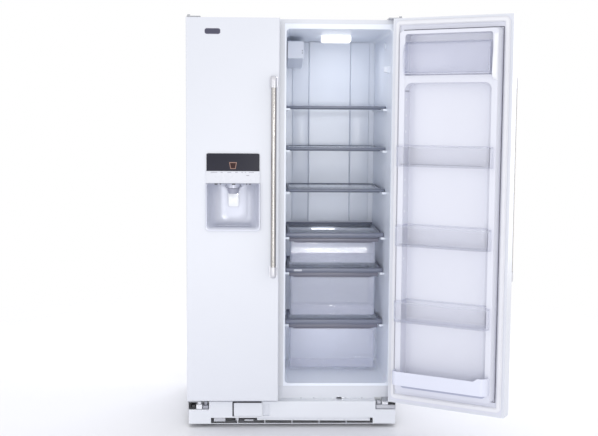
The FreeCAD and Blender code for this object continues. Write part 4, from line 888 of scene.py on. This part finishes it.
def door_handle(name, low, high, body, turn=None):
    x, y = (low.x + high.x) / 2, low.y + cap_radius
    tube = bmesh.new()
    tube_low, tube_high = low.z + cap_length - 0.004, high.z - cap_length + 0.004
    peg(tube, (x, y, (tube_low + tube_high) / 2), Matrix(), tube_radius, tube_radius, tube_high - tube_low, 48)
    finished(name + "_tube", tube, brushed, body, name, turn)
    caps = [turned_cap(x, y, low.z + cap_length, low.z), turned_cap(x, y, high.z - cap_length, high.z)]
    for start in (low.z, high.z - cap_length):
        caps.append(soft_block(around(x, -post_half, post_half), (y + 0.006, high.y - 0.001),
                               (start + 0.007, start + cap_length - 0.007), 0.006, 4, (1,)))
        caps.append(soft_block(around(x, -foot_half, foot_half), (high.y - foot_thickness, high.y),
                               (start, start + cap_length), 0.004, 3, (1,)))
    finished(name + "_caps", together(*caps), cap_silver, body, name, turn)


door_handle("freezer_handle", *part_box("freezer_handle"), "freezer_door")

# ---------------- refrigerator door
# Made like the freezer's and hung on the right. It is shown swung wide open, so its pieces are laid out as they
# stand when it is shut and then turned about the hinge. The white panel has a dairy compartment at its head.

hinge = next(joint for joint in frame["joints"] if joint["name"] == "refrigerator_door_hinge")
hinge_place = Vector(hinge["pos_m"])
door_turn = (Matrix.Translation(hinge_place) @ Matrix.Rotation(math.radians(-hinge["range_deg"][0]), 4, "Z")
             @ Matrix.Translation(-hinge_place))


def shut_box(node):
    """A piece's lowest and highest corners with the refrigerator door swung shut."""
    swing_back = door_turn.inverted()
    places = [swing_back @ vertex.co for vertex in nodes[node].data.vertices]
    return (Vector([min(place[axis] for place in places) for axis in range(3)]),
            Vector([max(place[axis] for place in places) for axis in range(3)]))


def on_door(name, mesh, finish, stands_for=None):
    """A piece of this door: laid out as if it were shut, and swung open with it."""
    finished(name, mesh, finish, "refrigerator_door", stands_for, door_turn)


door_handle("refrigerator_handle", *shut_box("refrigerator_handle"), "refrigerator_door", door_turn)
seal_low, seal_high = shut_box("refrigerator_door_gasket")
on_door("refrigerator_seal", bellows(seal_low, seal_high), seal_vinyl, "refrigerator_door_gasket")

panel_face = seal_low.y
wall_top = shut_box("refrigerator_door_panel")[1].y
wall_width, wall_taper = 0.026, 0.003
wall_left, wall_right = -0.018, 0.400
wall_low, wall_high = 0.189, 1.690
channel_width = 0.0028
# A flat dark ring round the foot of the panel's walls is painted shade for the shadowed channel there.
painted_channel_shade = varied("painted_channel_shade", (0.13, 0.13, 0.17), 0.6, 0.06, 40.0, 0.05, 700.0, slot="slate_trim")
channel = ring((wall_left - channel_width, wall_right + channel_width), around(panel_face, -0.0002, 0.0012),
               (wall_low - channel_width, wall_high + channel_width), 1, channel_width + 0.0006)
on_door("seal_channel_painted_shade", channel, painted_channel_shade)

fin_white = varied("fin_white", (0.78, 0.79, 0.84), 0.28, 0.01, 6.0, 0.03, 300.0, Coat_Weight=0.25,
                   Coat_Roughness=0.15, slot="liner_white")
fin = prism([(wall_top - 0.004, 1.478), (wall_top - 0.004, 1.668), (wall_top + 0.004, 1.660),
             (wall_top + 0.021, 1.560), (wall_top + 0.0245, 1.508), (wall_top + 0.014, 1.486)], 0,
            wall_left + wall_taper, wall_left + wall_taper + 0.016, [0, 0, 0.004, 0.045, 0.006, 0.006])
round_off(fin, [edge for edge in fin.edges if edge.calc_face_angle(0) > 1.2 and
                all(vert.co.y > wall_top - 0.003 for vert in edge.verts)], 0.0015, 2)
on_door("dairy_side_fin", fin, fin_white)

room_left, room_right = wall_left + wall_width, wall_right - wall_width
dairy_low, dairy_high = shut_box("dairy_cover")
floor_top = dairy_low.z - 0.004
corner_drop, rib_thickness = 0.034, 0.030
floor_foot = floor_top - rib_thickness
corner_foot, sink = floor_foot - corner_drop, 0.001
dairy_floor = prism([(room_left - sink, floor_top), (room_right + sink, floor_top), (room_right + sink, corner_foot),
                     (room_right, corner_foot), (room_right, floor_foot), (room_left, floor_foot),
                     (room_left, corner_foot), (room_left - sink, corner_foot)], 1,
                    panel_face - 0.0005, wall_top - 0.0015, [0, 0, 0, 0, 0.030, 0.030, 0, 0])
round_off(dairy_floor, [edge for edge in dairy_floor.edges
                        if all(vert.co.y > wall_top - 0.002 and vert.co.z < floor_foot + 0.0005
                               for vert in edge.verts)], 0.003)
on_door("dairy_floor", dairy_floor, door_panel)

boss_radius, boss_rise, boss_pitch, boss_first, boss_count = 0.0055, 0.0011, 0.0655, 0.753, 11
boss_x, boss_y = room_right - boss_rise / 2, (panel_face + wall_top) / 2 + 0.008
bosses = bmesh.new()
for index in range(boss_count):
    peg(bosses, (boss_x, boss_y, boss_first + index * boss_pitch), Matrix.Rotation(math.radians(-90), 4, "Y"),
        boss_radius, boss_radius * 0.8, boss_rise)
on_door("bin_bosses", bosses, fin_white)

# ---------------- door bins
# Three clear bins hook over the bosses between the panel's walls, and are wider and round-cornered in front of
# them. Each has a paler, thicker rim.

bin_levels, bin_height, bin_wall, bin_corner = (1.136, 0.810, 0.495), 0.085, 0.0026, 0.034
bins_low, bins_high = shut_box("refrigerator_door_bins")
bin_back_left, bin_back_right = 0.0095, 0.3725
bin_shoulder = wall_top + 0.001
rim_height, bin_rim_width = 0.0055, 0.0042
bin_tint = clear_moulding("bin_tint", (0.80, 0.82, 0.99), 0.045, 0.78)
rim_tint = clear_moulding("rim_tint", (0.70, 0.72, 0.86), 0.16, 0.80)
bin_plan = [(bin_back_left, bins_low.y), (bin_back_right, bins_low.y), (bin_back_right, bin_shoulder),
            (bins_high.x, bin_shoulder), (bins_high.x, bins_high.y), (bins_low.x, bins_high.y),
            (bins_low.x, bin_shoulder), (bin_back_left, bin_shoulder)]
bin_radii = [0.006, 0.006, 0.004, 0.007, bin_corner, bin_corner, 0.007, 0.004]
for name, level in zip(("upper_bin", "middle_bin", "bottom_bin"), bin_levels):
    tray = prism(bin_plan, 2, level, level + bin_height - rim_height, bin_radii)
    round_off(tray, [edge for edge in foot_edges(tray, level)
                     if all(vert.co.y > bin_shoulder + 0.008 for vert in edge.verts)], 0.007, 4)
    on_door(name, hollow(tray, bin_wall, upward), bin_tint, "refrigerator_door_bins")
    rim = prism(bin_plan, 2, level + bin_height - rim_height, level + bin_height, bin_radii)
    on_door(name + "_rim", bored(rim, 2, bin_rim_width), rim_tint, "refrigerator_door_bins")
    base_line = soft_block((bins_low.x + 0.030, bins_high.x - 0.030), around(bins_high.y, -0.0030, -0.0002),
                           around(level, 0.0085, 0.0115), *fine_edge)
    on_door(name + "_base_rib", base_line, rim_tint, "refrigerator_door_bins")

# ---------------- dairy cover
# A smoke-clear cover closes the dairy compartment. Its front rolls over at the top, its ends are cheeks with a
# stud each, and it flips up about them.

dairy_tint = clear_moulding("dairy_tint", (0.60, 0.625, 0.79), 0.20, 0.72)
dairy_rim_tint = clear_moulding("dairy_rim_tint", (0.62, 0.64, 0.76), 0.45, 0.85)
dairy_left, dairy_right = dairy_low.x + 0.0012, dairy_high.x - 0.0012
dairy_wall = 0.0025
cover = prism([(dairy_low.y, dairy_low.z), (dairy_high.y - 0.010, dairy_low.z), (dairy_high.y, dairy_low.z + 0.062),
               (dairy_high.y, dairy_high.z - 0.030), (dairy_high.y - 0.026, dairy_high.z),
               (dairy_low.y, dairy_high.z)], 0, dairy_left, dairy_right, [0, 0.002, 0.050, 0.022, 0.020, 0])
hollow(cover, dairy_wall, toward_door_back, (0, 0, -1))
finished("dairy_cover_shell", cover, dairy_tint, "dairy_cover", "dairy_cover", door_turn)
studs = bmesh.new()
for x in (dairy_low.x + 0.001, dairy_high.x - 0.001):
    peg(studs, (x, dairy_low.y + 0.008, dairy_high.z - 0.012), lie_across, 0.0025, 0.0025, 0.002)
top_band = soft_block((dairy_left + 0.004, dairy_right - 0.004), around(dairy_high.y, -0.0255, -0.0215),
                      around(dairy_high.z, -0.0022, -0.0002), *fine_edge)
pull = soft_block((dairy_left + 0.003, dairy_right - 0.003), around(dairy_high.y, -0.0062, -0.0024),
                  (dairy_low.z, dairy_low.z + 0.005), 0.001, 2)
right_rib = soft_block(around(dairy_left, 0.0006, 0.0046), around(dairy_high.y, -0.0045, -0.0004),
                       (dairy_low.z + 0.010, dairy_high.z - 0.030), 0.0012, 2)
finished("dairy_cover_trim", together(studs, top_band, pull, right_rib), dairy_rim_tint, "dairy_cover", "dairy_cover",
         door_turn)

# ---------------- door shelf
# The fixed shelf at the foot of the door is a white retainer, rounded at its corners and raised at the free end.
# Under it the panel has a long channel, shown as a grey strip of painted shade, and its lip is moulded in one with
# the panel.

shelf_low, shelf_high = shut_box("door_shelf")
retainer_wall, raised_end, end_rise = 0.003, 0.034, 0.013
retainer = prism(rectangle(shelf_low.x, shelf_high.x, shelf_low.y, shelf_high.y), 2, shelf_low.z, shelf_high.z,
                 [0.001, 0.001, 0.024, 0.025])
hollow(retainer, retainer_wall, upward, toward_door_back)
slope_start, slope_end = shelf_low.x + raised_end + 0.018, shelf_low.x + raised_end
for plane in (slope_start, slope_end):
    bmesh.ops.bisect_plane(retainer, geom=retainer.verts[:] + retainer.edges[:] + retainer.faces[:],
                           plane_co=(plane, 0, 0), plane_no=(1, 0, 0))
for vert in retainer.verts:
    if vert.co.z > shelf_high.z - 0.006:
        share = max(0.0, min(1.0, (slope_start - vert.co.x) / (slope_start - slope_end)))
        vert.co.z += share * end_rise
retainer_white = varied("retainer_white", (0.665, 0.685, 0.80), 0.3, 0.01, 6.0, 0.03, 300.0, Coat_Weight=0.25,
                        slot="trim_white")
on_door("door_retainer", retainer, retainer_white, "door_shelf")
# The grey strip laid under the retainer is painted shade for the recessed channel.
painted_recess_shade_grey = varied("painted_recess_shade_grey", (0.40, 0.42, 0.54), 0.4, 0.02, 20.0, 0.03, 400.0, slot="liner_white")
under_shelf_shade_strip = prism([(shelf_low.x + 0.022, shelf_low.z - 0.020), (shelf_high.x - 0.030, shelf_low.z - 0.020),
                       (shelf_high.x - 0.022, shelf_low.z - 0.001), (shelf_low.x + 0.010, shelf_low.z - 0.001)], 1,
                      wall_top - 0.001, wall_top + 0.0006, [0.010, 0.010, 0.002, 0.002])
on_door("under_shelf_painted_shade", under_shelf_shade_strip, painted_recess_shade_grey)
